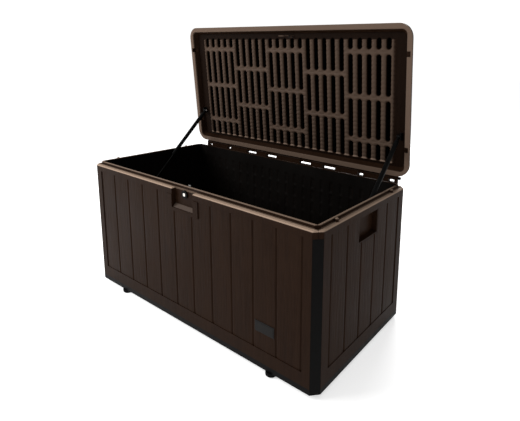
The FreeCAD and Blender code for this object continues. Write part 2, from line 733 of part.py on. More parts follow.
def base():
    body = new_body("base_panel")
    half, deep, cut = "@boxLength / 2", "@boxDepth / 2", "@cornerCut"
    plan = sketch(body, "XY_Plane", "@footHeight")
    outline(plan, [
        (f"-{half} + {cut}", f"-{deep}"), (f"{half} - {cut}", f"-{deep}"),
        (half, f"-{deep} + {cut}"), (half, f"{deep} - {cut}"),
        (f"{half} - {cut}", deep), (f"-{half} + {cut}", deep),
        (f"-{half}", f"{deep} - {cut}"), (f"-{half}", f"-{deep} + {cut}"),
    ])
    pad(body, plan, "@baseHeight")
    upstand(body, half, deep)
    base_cells(body, half, deep)
    bosses = sketch(body, "XY_Plane", "@footHeight")
    sockets = sketch(body, "XY_Plane", "@footHeight")
    for across, along in foot_spots():
        circle(bosses, across, along, "@footStudRadius + 3 * @skin")
        circle(sockets, across, along, "@footStudRadius")
    pad(body, bosses, "@baseHeight")
    pocket(body, sockets, "@footStudLength + @fitGap", reverse=True)
    shanks = sketch(body, "XY_Plane", "@footHeight")
    heads = sketch(body, "XY_Plane", "@footHeight")
    for across, along in base_screw_spots():
        circle(shanks, across, along, "@screwRadius + @fitGap")
        circle(heads, across, along, "@screwHeadRadius + @fitGap")
    pocket(body, shanks, "@baseHeight", reverse=True)
    pocket(body, heads, "@screwHeadHeight + @fitGap", reverse=True)
    return node(body, "base_panel")


def upstand(body, half, deep):
    """A lip that stands just inside the four walls and lines them up."""
    outer = "(@wallThickness + @fitGap)"
    inner = f"({outer} + @upstandThickness)"
    lip = sketch(body, "XY_Plane", "@footHeight + @baseHeight")
    for inset in (outer, inner):
        rectangle(lip, f"-{half} + {inset}", f"{half} - {inset}", f"-{deep} + {inset}", f"{deep} - {inset}")
    pad(body, lip, "@upstandHeight")


def base_cells(body, half, deep):
    rim = "(@wallThickness + @upstandThickness + @skin)"
    pitch = f"(2 * ({half} - {rim}) / @floorCells)"
    cells = sketch(body, "XY_Plane", "@footHeight + @baseHeight / 2")
    rectangle(cells, f"-({half} - {rim}) + @skin / 2", f"-({half} - {rim}) + {pitch} - @skin / 2",
              f"-{deep} + {rim}", f"{deep} - {rim}")
    cell = pocket(body, cells, "@baseHeight - 2 * @skin", middle=True)
    repeat(body, cell, "@floorCells", f"{pitch} * (@floorCells - 1)")


def foot_spots():
    across = "(@boxLength / 2 - @footInsetLong)"
    along = "(@boxDepth / 2 - @footInsetSide)"
    return [(f"{x}{across}", f"{y}{along}") for x in ("-", "") for y in ("-", "")]


def base_screw_spots():
    spots = []
    for side in ("-", ""):
        for spot in screw_line("@boxLength", "@plankBorderLong", "@planksLong"):
            spots.append((spot, f"{side}(@boxDepth / 2 - @wallThickness / 2)"))
        for spot in screw_line("@boxDepth", "@plankBorderSide", "@planksSide"):
            spots.append((f"{side}(@boxLength / 2 - @wallThickness / 2)", spot))
    return spots


def base_screws():
    screws = []
    for across, along in base_screw_spots():
        screws.append(join(
            rod(across, along, "@footHeight + @fitGap", "@screwHeadRadius", "@screwHeadHeight"),
            rod(across, along, "@footHeight + @fitGap", "@screwRadius", "@baseHeight + @screwGrip - @fitGap"),
        ))
    return node(group(*screws), "base_screws")


def foot(name, across, along):
    body = new_body(name)
    top = "@footHeight"
    turned(body, [
        ("0", "0"),
        ("@footRadius - @footEdge", "0"),
        ("@footRadius", "@footEdge"),
        ("@footRadius", f"{top} - @footTopEdge"),
        ("@footRadius - @footTopEdge", top),
        ("@footStudRadius", top),
        ("@footStudRadius", f"{top} + @footStudLength"),
        ("0", f"{top} + @footStudLength"),
    ])
    return node(place(body, across, along, "0"), name)


def corner_post(name, across, along, turn):
    """Outer corner of the box at the local origin, box towards -X and +Y."""
    body = new_body(name)
    cut = "@cornerCut"
    face = f"({cut} - @fitGap)"
    reach = f"({cut} + @tongueReach)"
    plan = sketch(body, "XY_Plane")
    outline(plan, [
        (f"-{face}", "@fitGap"),
        ("-@fitGap", face),
        ("-@tongueNear", face),
        ("-@tongueNear", reach),
        ("-@tongueFar", reach),
        ("-@tongueFar", face),
        (f"-{face}", face),
        (f"-{face}", "@tongueFar"),
        (f"-{reach}", "@tongueFar"),
        (f"-{reach}", "@tongueNear"),
        (f"-{face}", "@tongueNear"),
    ])
    pad(body, plan, "@wallHeight - @rimBand - @fitGap")
    spot = FreeCAD.Vector(across * size("boxLength") / 2, along * size("boxDepth") / 2,
                          size("footHeight") + size("baseHeight"))
    return node(body, name, FreeCAD.Placement(spot, FreeCAD.Rotation(FreeCAD.Vector(0, 0, 1), turn)))


# ---- lock, badge and pegs --------------------------------------------------

POCKET_FACE = "(-@boxDepth / 2 + @pocketDepth)"
WALL_INSIDE = "(-@boxDepth / 2 + @wallThickness)"
LOCK_Z = f"({LEDGE} - @lockBelowLedge)"


def lock():
    barrel = "(@wallThickness - @pocketDepth + @nutThickness)"
    outside = join(
        rod("0", f"{POCKET_FACE} - @lockBezelHeight", LOCK_Z, "@lockBezelRadius", "@lockBezelHeight", "Y"),
        rod("0", POCKET_FACE, LOCK_Z, "@lockBarrelRadius", barrel, "Y"),
    )
    hole = rod("0", f"{POCKET_FACE} - @lockBezelHeight", LOCK_Z, "@lockPlugRadius + @turnGap",
               f"@lockBezelHeight + {barrel}", "Y")
    node(take(outside, hole), "lock_body")
    nut = doc.addObject("Part::Prism", "nut")
    nut.Polygon = 6
    nut.setExpression("Circumradius", ex("@nutAcross"))
    nut.setExpression("Height", ex("@nutThickness - @fitGap"))
    nut.Placement.Rotation = FreeCAD.Rotation(FreeCAD.Vector(1, 0, 0), -90)
    place(nut, "0", WALL_INSIDE, LOCK_Z)
    thread = rod("0", WALL_INSIDE, LOCK_Z, "@lockBarrelRadius", "@nutThickness", "Y")
    node(take(nut, thread), "lock_nut")
    front = f"({POCKET_FACE} - @lockBezelHeight - @lockPlugProud)"
    inside = f"({WALL_INSIDE} + @nutThickness + @fitGap)"
    plug = rod("0", front, LOCK_Z, "@lockPlugRadius", f"{inside} - {front}", "Y")
    keyway = block("-@keyWidth / 2", f"{front} - @keyDepth", f"{LOCK_Z} - @keyHeight / 2",
                   ("@keyWidth", "2 * @keyDepth", "@keyHeight"))
    node(take(plug, keyway), "lock_plug")
    cam_and_screw(inside)


def cam_and_screw(inside):
    """The cam points up when the lid is free, and turns to the side to hold the strike."""
    plate = join(
        rod("0", inside, LOCK_Z, "@camHub", "@camThickness", "Y"),
        block("-@camWidth / 2", inside, LOCK_Z, ("@camWidth", "@camThickness", "@camReach")),
    )
    node(take(plate, rod("0", inside, LOCK_Z, "@camBore", "@camThickness", "Y")), "lock_cam")
    outer = f"({inside} + @camThickness)"
    screw = join(
        rod("0", inside, LOCK_Z, "@camBore", "@camThickness", "Y"),
        rod("0", outer, LOCK_Z, "@camScrewHead", "@camScrewHeight", "Y"),
    )
    node(screw, "cam_screw")


def badge():
    """A blank plate on the last plank but one at the right of the front."""
    half = "(@boxLength / 2 - @cornerCut - @plankBorderLong)"
    middle = f"({half} - 1.5 * 2 * {half} / @planksLong)"
    face = "(-@boxDepth / 2 + @fieldRecess)"
    plate = block(f"{middle} - @badgeWidth / 2", f"{face} - @badgeThickness", "@badgeBottom",
                  ("@badgeWidth", "@badgeThickness", "@badgeHeight"))
    rounded = doc.addObject("Part::Fillet", "badge")
    rounded.Base = plate
    doc.recompute()
    corners = [i + 1 for i, edge in enumerate(plate.Shape.Edges) if edge.BoundBox.YLength > 1]
    rounded.Edges = [(i, size("badgeCorner"), size("badgeCorner")) for i in corners]
    node(rounded, "badge_plate")


def lid_pegs():
    pegs = []
    for side in ("-", ""):
        across = f"{side}(@boxLength / 2 - @wallThickness + @pegFromInside)"
        for along in ("-@pegSpread", "@pegSpread"):
            shaft = rod(across, along, LEDGE, "@pegRadius", "@pegHeight - @pegRadius / 2")
            dome = doc.addObject("Part::Cone", "dome")
            dome.setExpression("Radius1", ex("@pegRadius"))
            dome.setExpression("Radius2", ex("@pegRadius / 2"))
            dome.setExpression("Height", ex("@pegRadius / 2"))
            place(dome, across, along, f"{LEDGE} + @pegHeight - @pegRadius / 2")
            pegs.append(join(shaft, dome))
    node(group(*pegs), "lid_locating_pegs")


# ---- hinge -----------------------------------------------------------------

def hinge_rods():
    reach = "(@boxLength / 2 - @stationOuter + @lugNarrow / 2 + @lugGap + @earWidth)"
    start = "@rodRadius"
    tip = f"({reach} + @fitGap + @rodCapLength - @rodCapEnd)"
    for name, left in (("hinge_rod_right", start), ("hinge_rod_left", f"-{tip}")):
        node(rod(left, HINGE_Y, HINGE_Z, "@rodRadius", f"{tip} - {start}", "X"), name)
    caps = []
    for outer, inner in ((f"({reach} + @fitGap)", f"({reach} + @fitGap)"),
                         (f"-({reach} + @fitGap + @rodCapLength)", f"-{tip}")):
        cap = rod(outer, HINGE_Y, HINGE_Z, "@rodRadius + @rodCapEnd", "@rodCapLength", "X")
        hole = rod(inner, HINGE_Y, HINGE_Z, "@rodRadius", "@rodCapLength - @rodCapEnd", "X")
        caps.append(take(cap, hole))
    node(group(*caps), "hinge_rod_caps")


# ---- lid -------------------------------------------------------------------

def lid_outline(body, level, inset, radius, back=None):
    plan = sketch(body, "XY_Plane", level)
    across = f"(@boxLength / 2 + @lidOverhang - {inset})"
    front = f"(@boxDepth / 2 + @lidOverhang - {inset})"
    behind = f"(@boxDepth / 2 + @lidOverhang - {back or inset})"
    rounded_rectangle(plan, f"-{across}", across, f"-{front}", behind, radius)
    return plan


def loft(body, kind, first, second):
    made = body.newObject("PartDesign::" + kind, body.Name + "_loft")
    made.Profile = first
    made.Sections = [(second, [""])]
    made.Ruled = True
    body.Tip = made
    doc.recompute()
    return made


def lid():
    body = new_body("lid_panel")
    pad(body, lid_outline(body, LIP, "0", "@lidCornerRadius"), "@lidBand")
    lug_comb(body)
    loft(body, "AdditiveLoft",
         lid_outline(body, f"{LIP} + @lidBand", "0", "@lidCornerRadius"),
         lid_outline(body, LIDTOP, "@lidSlope", "@lidTopRadius"))
    loft(body, "SubtractiveLoft",
         lid_outline(body, LIP, LIPWIDTH, "@recessRadius", BACKLIP),
         lid_outline(body, RIBFACE, LIPFOOT, "@recessRadius"))
    lid_hollow(body)
    lid_slots(body, "(@slotWidth + 2 * @skin)", True)
    lid_slots(body, "@slotWidth", False)
    lid_planks(body)
    lid_notches(body)
    bore = sketch(body, "YZ_Plane", "-@boxLength / 2")
    circle(bore, HINGE_Y, HINGE_Z, "@rodRadius + @turnGap")
    pocket(body, bore, "@boxLength", reverse=True)
    return node(body, "lid_panel", lid_open())


def lid_hollow(body):
    """The sealed air space between the ribbed face and the top."""
    inset = "(@lidSlope + 6 * @skin - @lidOverhang)"
    space = sketch(body, "XY_Plane", f"({RIBFACE} + {LIDTOP}) / 2")
    rectangle(space, f"-@boxLength / 2 + {inset}", f"@boxLength / 2 - {inset}",
              f"-@boxDepth / 2 + {inset}", f"@boxDepth / 2 - {inset}")
    pocket(body, space, "@lidHeight - @ribFaceDepth - 2 * @skin - @grooveDepth", middle=True)


def lid_slots(body, width, walls):
    """Five blocks of five slots; crossbars of every second block sit half a pitch on."""
    grow = f"(({width} - @slotWidth) / 2)"
    for blocks, bars, start in (((-2, 0, 2), 3, "0"), ((-1, 1), 2, f"{BARPITCH} / 2")):
        field = sketch(body, "XY_Plane", RIBFACE)
        for block_index in blocks:
            column = f"({block_index} * @slotColumns - (@slotColumns - 1) / 2) * {SLOTPITCH}"
            edges = [f"-{FIELDFRONT}"]
            for bar in range(bars):
                middle = f"(@crossbarInset - {FIELDFRONT} + {start} + {bar} * {BARPITCH})"
                edges += [f"{middle} - @crossbarHalf", f"{middle} + @crossbarHalf"]
            edges.append(FIELDBACK)
            for low, high in zip(edges[0::2], edges[1::2]):
                rounded_slot(field, f"({column})", f"({low} - {grow})", f"({high} + {grow})", width)
        deep = "@lidHeight - @ribFaceDepth"
        if walls:
            made = pad(body, field, f"{deep} - @grooveDepth - @skin / 2")
        else:
            made = pocket(body, field, f"{deep} - @grooveDepth - @skin", reverse=True)
        repeat(body, made, "@slotColumns", f"{SLOTPITCH} * (@slotColumns - 1)")


def lid_planks(body):
    """Grooves across the top, in line with the grooves of the front."""
    half = "(@boxLength / 2 - @cornerCut - @plankBorderLong)"
    pitch = f"(2 * {half} / @planksLong)"
    deep = "(@boxDepth / 2 - @lidSlope - @lidOverhang)"
    groove = sketch(body, "XZ_Plane", deep)
    outline(groove, [
        (f"-{half} + {pitch} - @grooveFloor / 2", f"{LIDTOP} - @grooveDepth"),
        (f"-{half} + {pitch} + @grooveFloor / 2", f"{LIDTOP} - @grooveDepth"),
        (f"-{half} + {pitch} + @grooveWidth / 2", LIDTOP),
        (f"-{half} + {pitch} + @grooveWidth / 2", f"{LIDTOP} + {SPILL}"),
        (f"-{half} + {pitch} - @grooveWidth / 2", f"{LIDTOP} + {SPILL}"),
        (f"-{half} + {pitch} - @grooveWidth / 2", LIDTOP),
    ])
    cut = pocket(body, groove, f"2 * {deep}")
    repeat(body, cut, "@planksLong - 1", f"{pitch} * (@planksLong - 2)")


def lid_notches(body):
    """Notches of the side lips that drop over the locating pegs."""
    notches = sketch(body, "XY_Plane", LIP)
    inner = f"(@boxLength / 2 + @lidOverhang - {LIPWIDTH})"
    for side in (-1, 1):
        for along in ("-@pegSpread", "@pegSpread"):
            across = [f"{side} * ({inner} - {SPILL} / 3)", f"{side} * ({inner} + @notchReach)"]
            if side < 0:
                across.reverse()
            rectangle(notches, *across, f"{along} - @notchWidth / 2", f"{along} + @notchWidth / 2")
    pocket(body, notches, "@pegHeight + @pegRadius / 2", reverse=True)


def lug_comb(body):
    """From the back edge of the lid to the knuckles around the hinge axis."""
    back = "(@boxDepth / 2 + @lidOverhang)"
    level = f"({LIP} + @lidBand)"
    arm = [
        (f"{back} - @lidBand", level),
        (f"{back} - @lidBand / 3", level),
        (HINGE_Y, f"{HINGE_Z} - @knuckleRadius"),
        (HINGE_Y, f"{HINGE_Z} + @knuckleRadius"),
        (f"{back} - @lidBand", f"{HINGE_Z} + @knuckleRadius"),
    ]
    lugs = [(f"{side}{station}", width) for side in ("", "-") for station, width in hinge_stations()]
    comb(body, arm, (HINGE_Y, HINGE_Z), lugs, level,
         f"{back} - 2 * @lidBand", f"{HINGE_Y} + 3 * @knuckleRadius")


def strike():
    """A hooked plate under the lid: the cam turns in over its toe."""
    plane = f"({WALL_INSIDE} + @nutThickness + @fitGap)"
    near = "(@camReach + @strikePast)"
    toe = f"({LOCK_Z} - @camWidth / 2 - @strikeUnder - @strikeWidth)"
    plate = "@strikeThickness"
    made = join(
        block(near, plane, toe, ("@strikeWidth", plate, f"{RIBFACE} - {toe}")),
        block(f"{near} - @strikeToe", plane, toe, ("@strikeToe + @strikeWidth", plate, "@strikeWidth")),
        block(f"{near} - @strikeWidth", plane, f"{RIBFACE} - {plate}",
              ("3 * @strikeWidth", "1.1 * @strikeWidth", plate)),
    )
    node(made, "lock_strike", lid_open())
    screws = []
    along = f"{plane} + {plate} + 0.4 * @strikeWidth"
    for across in (f"({near} - @strikeWidth / 2)", f"({near} + 1.5 * @strikeWidth)"):
        screws.append(rod(across, along, f"{RIBFACE} - {plate} - @strikeScrewHeight",
                          "@strikeScrewHead", "@strikeScrewHeight"))
    node(group(*screws), "strike_screws", lid_open())


# ---- gas struts ------------------------------------------------------------

def strut(side, name):
    upper, lower = strut_points()
    across = side * float(sheet.evalExpression(ex(STRUT_X)))
    upper.x = across
    lower.x = across
    along = lower.sub(upper)
    turn = FreeCAD.Rotation(FreeCAD.Vector(side, 0, 0), FreeCAD.Vector(0, 0, 0), along, "ZXY")
    down = FreeCAD.Placement(upper, turn)
    up = FreeCAD.Placement(lower, FreeCAD.Rotation(FreeCAD.Vector(side, 0, 0), FreeCAD.Vector(0, 0, 0),
                                                   along.negative(), "ZXY"))
    node(socket("@socketReach", True), f"{name}_strut_upper_socket", down)
    tube(f"{name}_strut_tube", down)
    mouth = "@socketReach + @tubeLength - @sealLength"
    seal = take(rod("0", "0", mouth, "@tubeRadius - @tubeWall", "@sealLength"),
                rod("0", "0", mouth, "@pistonRodRadius + @turnGap", "@sealLength"))
    node(seal, f"{name}_strut_seal", down)
    node(socket("@socketReach", False), f"{name}_strut_lower_socket", up)
    piston_rod(f"{name}_strut_rod", up)


def socket(reach, open_side):
    """A ball socket, ball at the local origin, strut along +Z, mouth towards +X."""
    body = join(
        rod("-@socketRadius + @socketTrim", "0", "0", "@socketRadius",
            "2 * (@socketRadius - @socketTrim)", "X"),
        rod("0", "0", "@ballRadius + @turnGap + @neckClear", "@socketNeck",
            f"{reach} - @ballRadius - @turnGap - @neckClear"),
    )
    if not open_side:
        return body
    hollow = join(
        ball("0", "0", "0", "@ballRadius + @turnGap"),
        rod("0", "0", "0", "@ballNeck + @mouthClear", "2 * @socketRadius", "X"),
    )
    return take(body, hollow)


def tube(name, placement):
    body = new_body(name)
    end = "(@socketReach + @tubeLength)"
    turned(body, [
        ("0", "@socketReach"),
        ("@tubeRadius - @tubeEdge", "@socketReach"),
        ("@tubeRadius", "@socketReach + @tubeEdge"),
        ("@tubeRadius", end),
        ("@tubeRadius - @tubeWall", end),
        ("@tubeRadius - @tubeWall", "@socketReach + @tubeEdge + @tubeWall"),
        ("0", "@socketReach + @tubeEdge + @tubeWall"),
    ])
    node(body, name, placement)


def piston_rod(name, placement):
    """From the lower socket to the piston, just short of the seal at full length."""
    made = join(
        rod("0", "0", "@socketReach", "@pistonRodRadius", "@pistonAt - @socketReach + @pistonPlay"),
        rod("0", "0", "@pistonAt + @pistonPlay", "@tubeRadius - @tubeWall - @turnGap", "@pistonLength"),
    )
    node(made, name, placement)


def lid_bracket(side, name):
    """An angle on the ribbed face, with a ball stud towards the middle of the box."""
    plate = "@bracketThickness"
    leg = f"({STRUT_X} + @socketRadius + @fitGap * 3)"
    low = f"({STUD_Z} - @ballRadius - @bracketEdge)"
    left = {1: leg, -1: f"-({leg} + {plate})"}[side]
    shelf = {1: f"({leg} - 2 * @ballRadius)", -1: f"-({leg} + {plate})"}[side]
    stud = {1: STRUT_X, -1: f"-({leg} + @studBite)"}[side]
    made = join(
        block(left, f"{STUD_Y} - @bracketHalf", low, (plate, "2 * @bracketHalf", f"{RIBFACE} - {low}")),
        block(shelf, f"{STUD_Y} - @bracketHalf", f"{RIBFACE} - @bracketFlange",
              (f"{plate} + 2 * @ballRadius", "2 * @bracketHalf", "@bracketFlange")),
        ball({1: STRUT_X, -1: f"-{STRUT_X}"}[side], STUD_Y, STUD_Z, "@ballRadius"),
        rod(stud, STUD_Y, STUD_Z, "@ballNeck", f"{leg} + @studBite - {STRUT_X}", "X"),
    )
    node(made, f"{name}_strut_lid_bracket", lid_open())


def wall_bracket(side, name):
    """A plate on the end wall; its stud stops just short of the lower socket."""
    plate = "@bracketThickness"
    inside = "(@boxLength / 2 - @wallThickness)"
    face = f"({inside} - {plate})"
    tip = f"({STRUT_X} + @socketRadius - @socketTrim + @fitGap * 1.5)"
    made = join(
        block({1: face, -1: f"-{inside}"}[side], f"{ANCHOR_Y} - @bracketHalf",
              f"{ANCHOR_Z} - 1.6 * @bracketHalf", (plate, "2 * @bracketHalf", "3.2 * @bracketHalf")),
        rod({1: tip, -1: f"-({face} + @studBite)"}[side], ANCHOR_Y, ANCHOR_Z, "@wallStud",
            f"{face} + @studBite - {tip}", "X"),
    )
    node(made, f"{name}_strut_wall_bracket")


def wall_bracket_screws():
    """Two pan-head screws above and below each wall bracket's stud."""
    head = "@bracketScrewHeight"
    face = "(@boxLength / 2 - @wallThickness - @bracketThickness)"
    screws = []
    for left in (f"{face} - {head}", f"-{face}"):
        for step in ("-1.1", "1.1"):
            screws.append(rod(left, ANCHOR_Y, f"{ANCHOR_Z} + {step} * @bracketHalf",
                              "@bracketScrewHead", head, "X"))
    node(group(*screws), "wall_bracket_screws")


# ---- the box ---------------------------------------------------------------

base()
front_wall()
back_wall()
side_wall("left_panel", at_left())
side_wall("right_panel", at_right())
for label, x_side, y_side, quarter in (("front_right", 1, -1, 0), ("front_left", -1, -1, -90),
                                       ("back_right", 1, 1, 90), ("back_left", -1, 1, 180)):
    corner_post(f"corner_post_{label}", x_side, y_side, quarter)
for label, spot in zip(("front_left", "back_left", "front_right", "back_right"), foot_spots()):
    foot(f"foot_{label}", *spot)
base_screws()
lock()
badge()
lid_pegs()
hinge_rods()
lid()
strike()
for side_sign, side_name in ((-1, "left"), (1, "right")):
    strut(side_sign, side_name)
    lid_bracket(side_sign, side_name)
    wall_bracket(side_sign, side_name)
wall_bracket_screws()
doc.recompute()

faults = [item.Label for item in doc.Objects if {"Invalid", "Error"} & set(item.State)]
for item in nodes:
    if item.Shape.isNull() or not item.Shape.isValid():
        faults.append(item.Label)
if faults:
    raise RuntimeError("failed: " + ", ".join(faults))

os.makedirs("parts", exist_ok=True)
for item in nodes:
    item.Shape.exportStep(f"parts/{item.Label}.step")
upper_ball, lower_ball = strut_points()
print(len(nodes), "nodes; strut from", upper_ball, "to", lower_ball)
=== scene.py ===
import json
import math

import bpy
import numpy as np
from mathutils import Matrix, Vector


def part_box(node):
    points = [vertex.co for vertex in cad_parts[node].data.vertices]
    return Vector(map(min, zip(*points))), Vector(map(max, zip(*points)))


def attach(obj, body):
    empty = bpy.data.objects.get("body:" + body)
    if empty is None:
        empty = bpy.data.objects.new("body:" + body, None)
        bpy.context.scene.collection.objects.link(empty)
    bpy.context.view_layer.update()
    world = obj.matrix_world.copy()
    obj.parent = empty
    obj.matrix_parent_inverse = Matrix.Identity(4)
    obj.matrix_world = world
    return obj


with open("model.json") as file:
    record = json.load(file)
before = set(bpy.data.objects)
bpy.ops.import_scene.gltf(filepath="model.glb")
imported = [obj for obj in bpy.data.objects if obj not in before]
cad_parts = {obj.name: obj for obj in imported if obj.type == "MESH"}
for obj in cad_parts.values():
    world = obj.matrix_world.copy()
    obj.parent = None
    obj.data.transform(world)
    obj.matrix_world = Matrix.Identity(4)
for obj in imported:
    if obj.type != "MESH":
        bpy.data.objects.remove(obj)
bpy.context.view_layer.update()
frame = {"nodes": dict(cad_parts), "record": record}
nodes = frame["nodes"]


def addMesh(name, verts, faces, smooth=True):
    mesh = bpy.data.meshes.new(name)
    mesh.from_pydata([tuple(v) for v in verts], [], [tuple(f) for f in faces])
    mesh.validate()
    mesh.update()
    mesh.polygons.foreach_set("use_smooth", [smooth] * len(mesh.polygons))
    made = bpy.data.objects.new(name, mesh)
    bpy.context.scene.collection.objects.link(made)
    return made


# quads of a grid stored row by row; keep is a mask of the cells that stay
def gridFaces(rows, columns, keep=None):
    index = np.arange(rows * columns).reshape(rows, columns)
    corners = [index[:-1, :-1], index[:-1, 1:], index[1:, 1:], index[1:, :-1]]
    quads = np.stack(corners, axis=-1)
    if keep is not None:
        quads = quads[keep]
    return quads.reshape(-1, 4)


# a relief; depth is measured inwards at each point of the grid
def sheetOnPlane(name, across, along, depth, toFrame, keep=None):
    acrossGrid, alongGrid = np.meshgrid(across, along)
    points = np.stack([acrossGrid, depth, alongGrid], axis=-1).reshape(-1, 3)
    points = points @ np.array(toFrame.to_3x3()).T + np.array(toFrame.translation)
    faces = gridFaces(len(along), len(across), keep)
    used = np.unique(faces)
    slot = np.zeros(len(points), int)
    slot[used] = np.arange(len(used))
    return addMesh(name, points[used], slot[faces])


def smoothStep(value):
    held = np.clip(value, 0.0, 1.0)
    return held * held * (3 - 2 * held)


# long soft lines down the grid: random columns that drift along their length
def streaks(rng, columns, rows, run):
    knots = max(3, rows // run)
    coarse = rng.normal(size=(knots, columns))
    coarse = (0.25 * np.roll(coarse, 1, axis=1) + 0.5 * coarse
              + 0.25 * np.roll(coarse, -1, axis=1))
    spots = np.linspace(0, knots - 1.001, rows)
    low = spots.astype(int)
    part = (spots - low)[:, None]
    return coarse[low] * (1 - part) + coarse[low + 1] * part


def roundEdges(made, width):
    modifier = made.modifiers.new("edges", "BEVEL")
    modifier.width = width
    modifier.segments = 3
    modifier.limit_method = "ANGLE"
    weighted = made.modifiers.new("normals", "WEIGHTED_NORMAL")
    weighted.keep_sharp = True


def roundBox(name, low, high, edge):
    corners = [(x, y, z) for x in (low[0], high[0])
               for y in (low[1], high[1]) for z in (low[2], high[2])]
    faces = [(0, 1, 3, 2), (4, 6, 7, 5), (0, 4, 5, 1),
             (2, 3, 7, 6), (0, 2, 6, 4), (1, 5, 7, 3)]
    made = addMesh(name, corners, faces)
    roundEdges(made, edge)
    return made


# turns (radius, height) points about the local Z axis
def lathe(name, profile, steps, toFrame):
    angles = np.linspace(0, 2 * math.pi, steps, endpoint=False)
    points = []
    for radius, height in profile:
        for angle in angles:
            local = Vector((radius * math.cos(angle), radius * math.sin(angle), height))
            points.append(toFrame @ local)
    faces = []
    for ring in range(len(profile) - 1):
        for step in range(steps):
            following = (step + 1) % steps
            faces.append((ring * steps + step, ring * steps + following,
                          (ring + 1) * steps + following, (ring + 1) * steps + step))
    return addMesh(name, points, faces)


# an empty node group; inputs maps each name to its socket kind and first value
def makeGroup(name, inputs, outputs):
    group = bpy.data.node_groups.new(name, "ShaderNodeTree")
    for label, (kind, value) in inputs.items():
        made = group.interface.new_socket(label, in_out="INPUT", socket_type=kind)
        if value is not None:
            made.default_value = value
    for label, kind in outputs.items():
        group.interface.new_socket(label, in_out="OUTPUT", socket_type=kind)
    given = group.nodes.new("NodeGroupInput")
    return group, given, group.nodes.new("NodeGroupOutput")


def mathNode(tree, operation, first, second=0.0):
    made = tree.nodes.new("ShaderNodeMath")
    made.operation = operation
    for slot, value in zip(made.inputs, (first, second)):
        if isinstance(value, (int, float)):
            slot.default_value = value
        else:
            tree.links.new(value, slot)
    return made.outputs[0]


def times(tree, first, second):
    return mathNode(tree, "MULTIPLY", first, second)


def noiseAt(tree, vector, scale, detail=3.0, rough=0.55):
    made = tree.nodes.new("ShaderNodeTexNoise")
    made.inputs["Scale"].default_value = scale
    made.inputs["Detail"].default_value = detail
    made.inputs["Roughness"].default_value = rough
    tree.links.new(vector, made.inputs["Vector"])
    return made.outputs["Fac"]


def ramp(tree, value, low, high, start=0.0, end=1.0):
    made = tree.nodes.new("ShaderNodeMapRange")
    limits = (("From Min", low), ("From Max", high), ("To Min", start), ("To Max", end))
    for label, number in limits:
        made.inputs[label].default_value = number
    tree.links.new(value, made.inputs["Value"])
    return made.outputs["Result"]


def splitAt(tree, vector):
    split = tree.nodes.new("ShaderNodeSeparateXYZ")
    tree.links.new(vector, split.inputs[0])
    return split


# noise scale, detail and roughness of each layer, and the range that is kept of it
grainLayers = {
    "fine": (520.0, 4.0, 0.6), "fineShare": 0.6, "broad": (90.0, 3.0, 0.5), "broadShare": 0.4,
    "patches": (7.0, 4.0, 0.6), "toneRange": (0.3, 0.7), "patchRange": (0.35, 0.7),
}


# moulded wood grain along the local Z of Vector
def buildGrainGroup():
    group, given, result = makeGroup("mouldedGrain", {
        "Vector": ("NodeSocketVector", None),
        "Stretch": ("NodeSocketFloat", 18.0),
    }, {"Height": "NodeSocketFloat", "Tone": "NodeSocketFloat", "Patches": "NodeSocketFloat"})
    vector = given.outputs["Vector"]
    split = splitAt(group, vector)
    squeezed = group.nodes.new("ShaderNodeCombineXYZ")
    group.links.new(split.outputs["X"], squeezed.inputs["X"])
    group.links.new(split.outputs["Y"], squeezed.inputs["Y"])
    drawnOut = mathNode(group, "DIVIDE", split.outputs["Z"], given.outputs["Stretch"])
    group.links.new(drawnOut, squeezed.inputs["Z"])
    fine = noiseAt(group, squeezed.outputs[0], *grainLayers["fine"])
    broad = noiseAt(group, squeezed.outputs[0], *grainLayers["broad"])
    patches = noiseAt(group, vector, *grainLayers["patches"])
    height = mathNode(group, "ADD", times(group, fine, grainLayers["fineShare"]),
                      times(group, broad, grainLayers["broadShare"]))
    tone = ramp(group, height, *grainLayers["toneRange"])
    patches = ramp(group, patches, *grainLayers["patchRange"])
    group.links.new(height, result.inputs["Height"])
    group.links.new(tone, result.inputs["Tone"])
    group.links.new(patches, result.inputs["Patches"])
    return group


dustLayers = {"dustDetail": 5.0, "dustRange": (0.45, 0.75), "speckle": (14.0, 2.0)}


# fine speckle and dust for small plain parts
def buildWearGroup():
    group, given, result = makeGroup("smallWear", {
        "Vector": ("NodeSocketVector", None),
        "Size": ("NodeSocketFloat", 60.0),
    }, {"Dust": "NodeSocketFloat", "Speckle": "NodeSocketFloat"})
    scaled = group.nodes.new("ShaderNodeVectorMath")
    scaled.operation = "SCALE"
    group.links.new(given.outputs["Vector"], scaled.inputs[0])
    group.links.new(given.outputs["Size"], scaled.inputs["Scale"])
    dust = noiseAt(group, scaled.outputs[0], 1.0, dustLayers["dustDetail"])
    dust = ramp(group, dust, *dustLayers["dustRange"])
    speckle = noiseAt(group, scaled.outputs[0], *dustLayers["speckle"])
    group.links.new(dust, result.inputs["Dust"])
    group.links.new(speckle, result.inputs["Speckle"])
    return group


grainGroup = buildGrainGroup()
wearGroup = buildWearGroup()


def newMaterial(name, rough, specular, metallic=0.0):
    material = bpy.data.materials.new(name)
    material.use_nodes = True
    shader = material.node_tree.nodes["Principled BSDF"]
    shader.inputs["Roughness"].default_value = rough
    shader.inputs["Specular IOR Level"].default_value = specular
    shader.inputs["Metallic"].default_value = metallic
    return material, material.node_tree, shader


def blendColours(tree, factor, first, second):
    made = tree.nodes.new("ShaderNodeMix")
    made.data_type = "RGBA"
    tree.links.new(factor, made.inputs["Factor"])
    for slot, value in (("A", first), ("B", second)):
        socket = [s for s in made.inputs if s.name == slot and s.type == "RGBA"][0]
        if isinstance(value, (tuple, list)):
            socket.default_value = (*value, 1.0)
        else:
            tree.links.new(value, socket)
    return [s for s in made.outputs if s.type == "RGBA"][0]


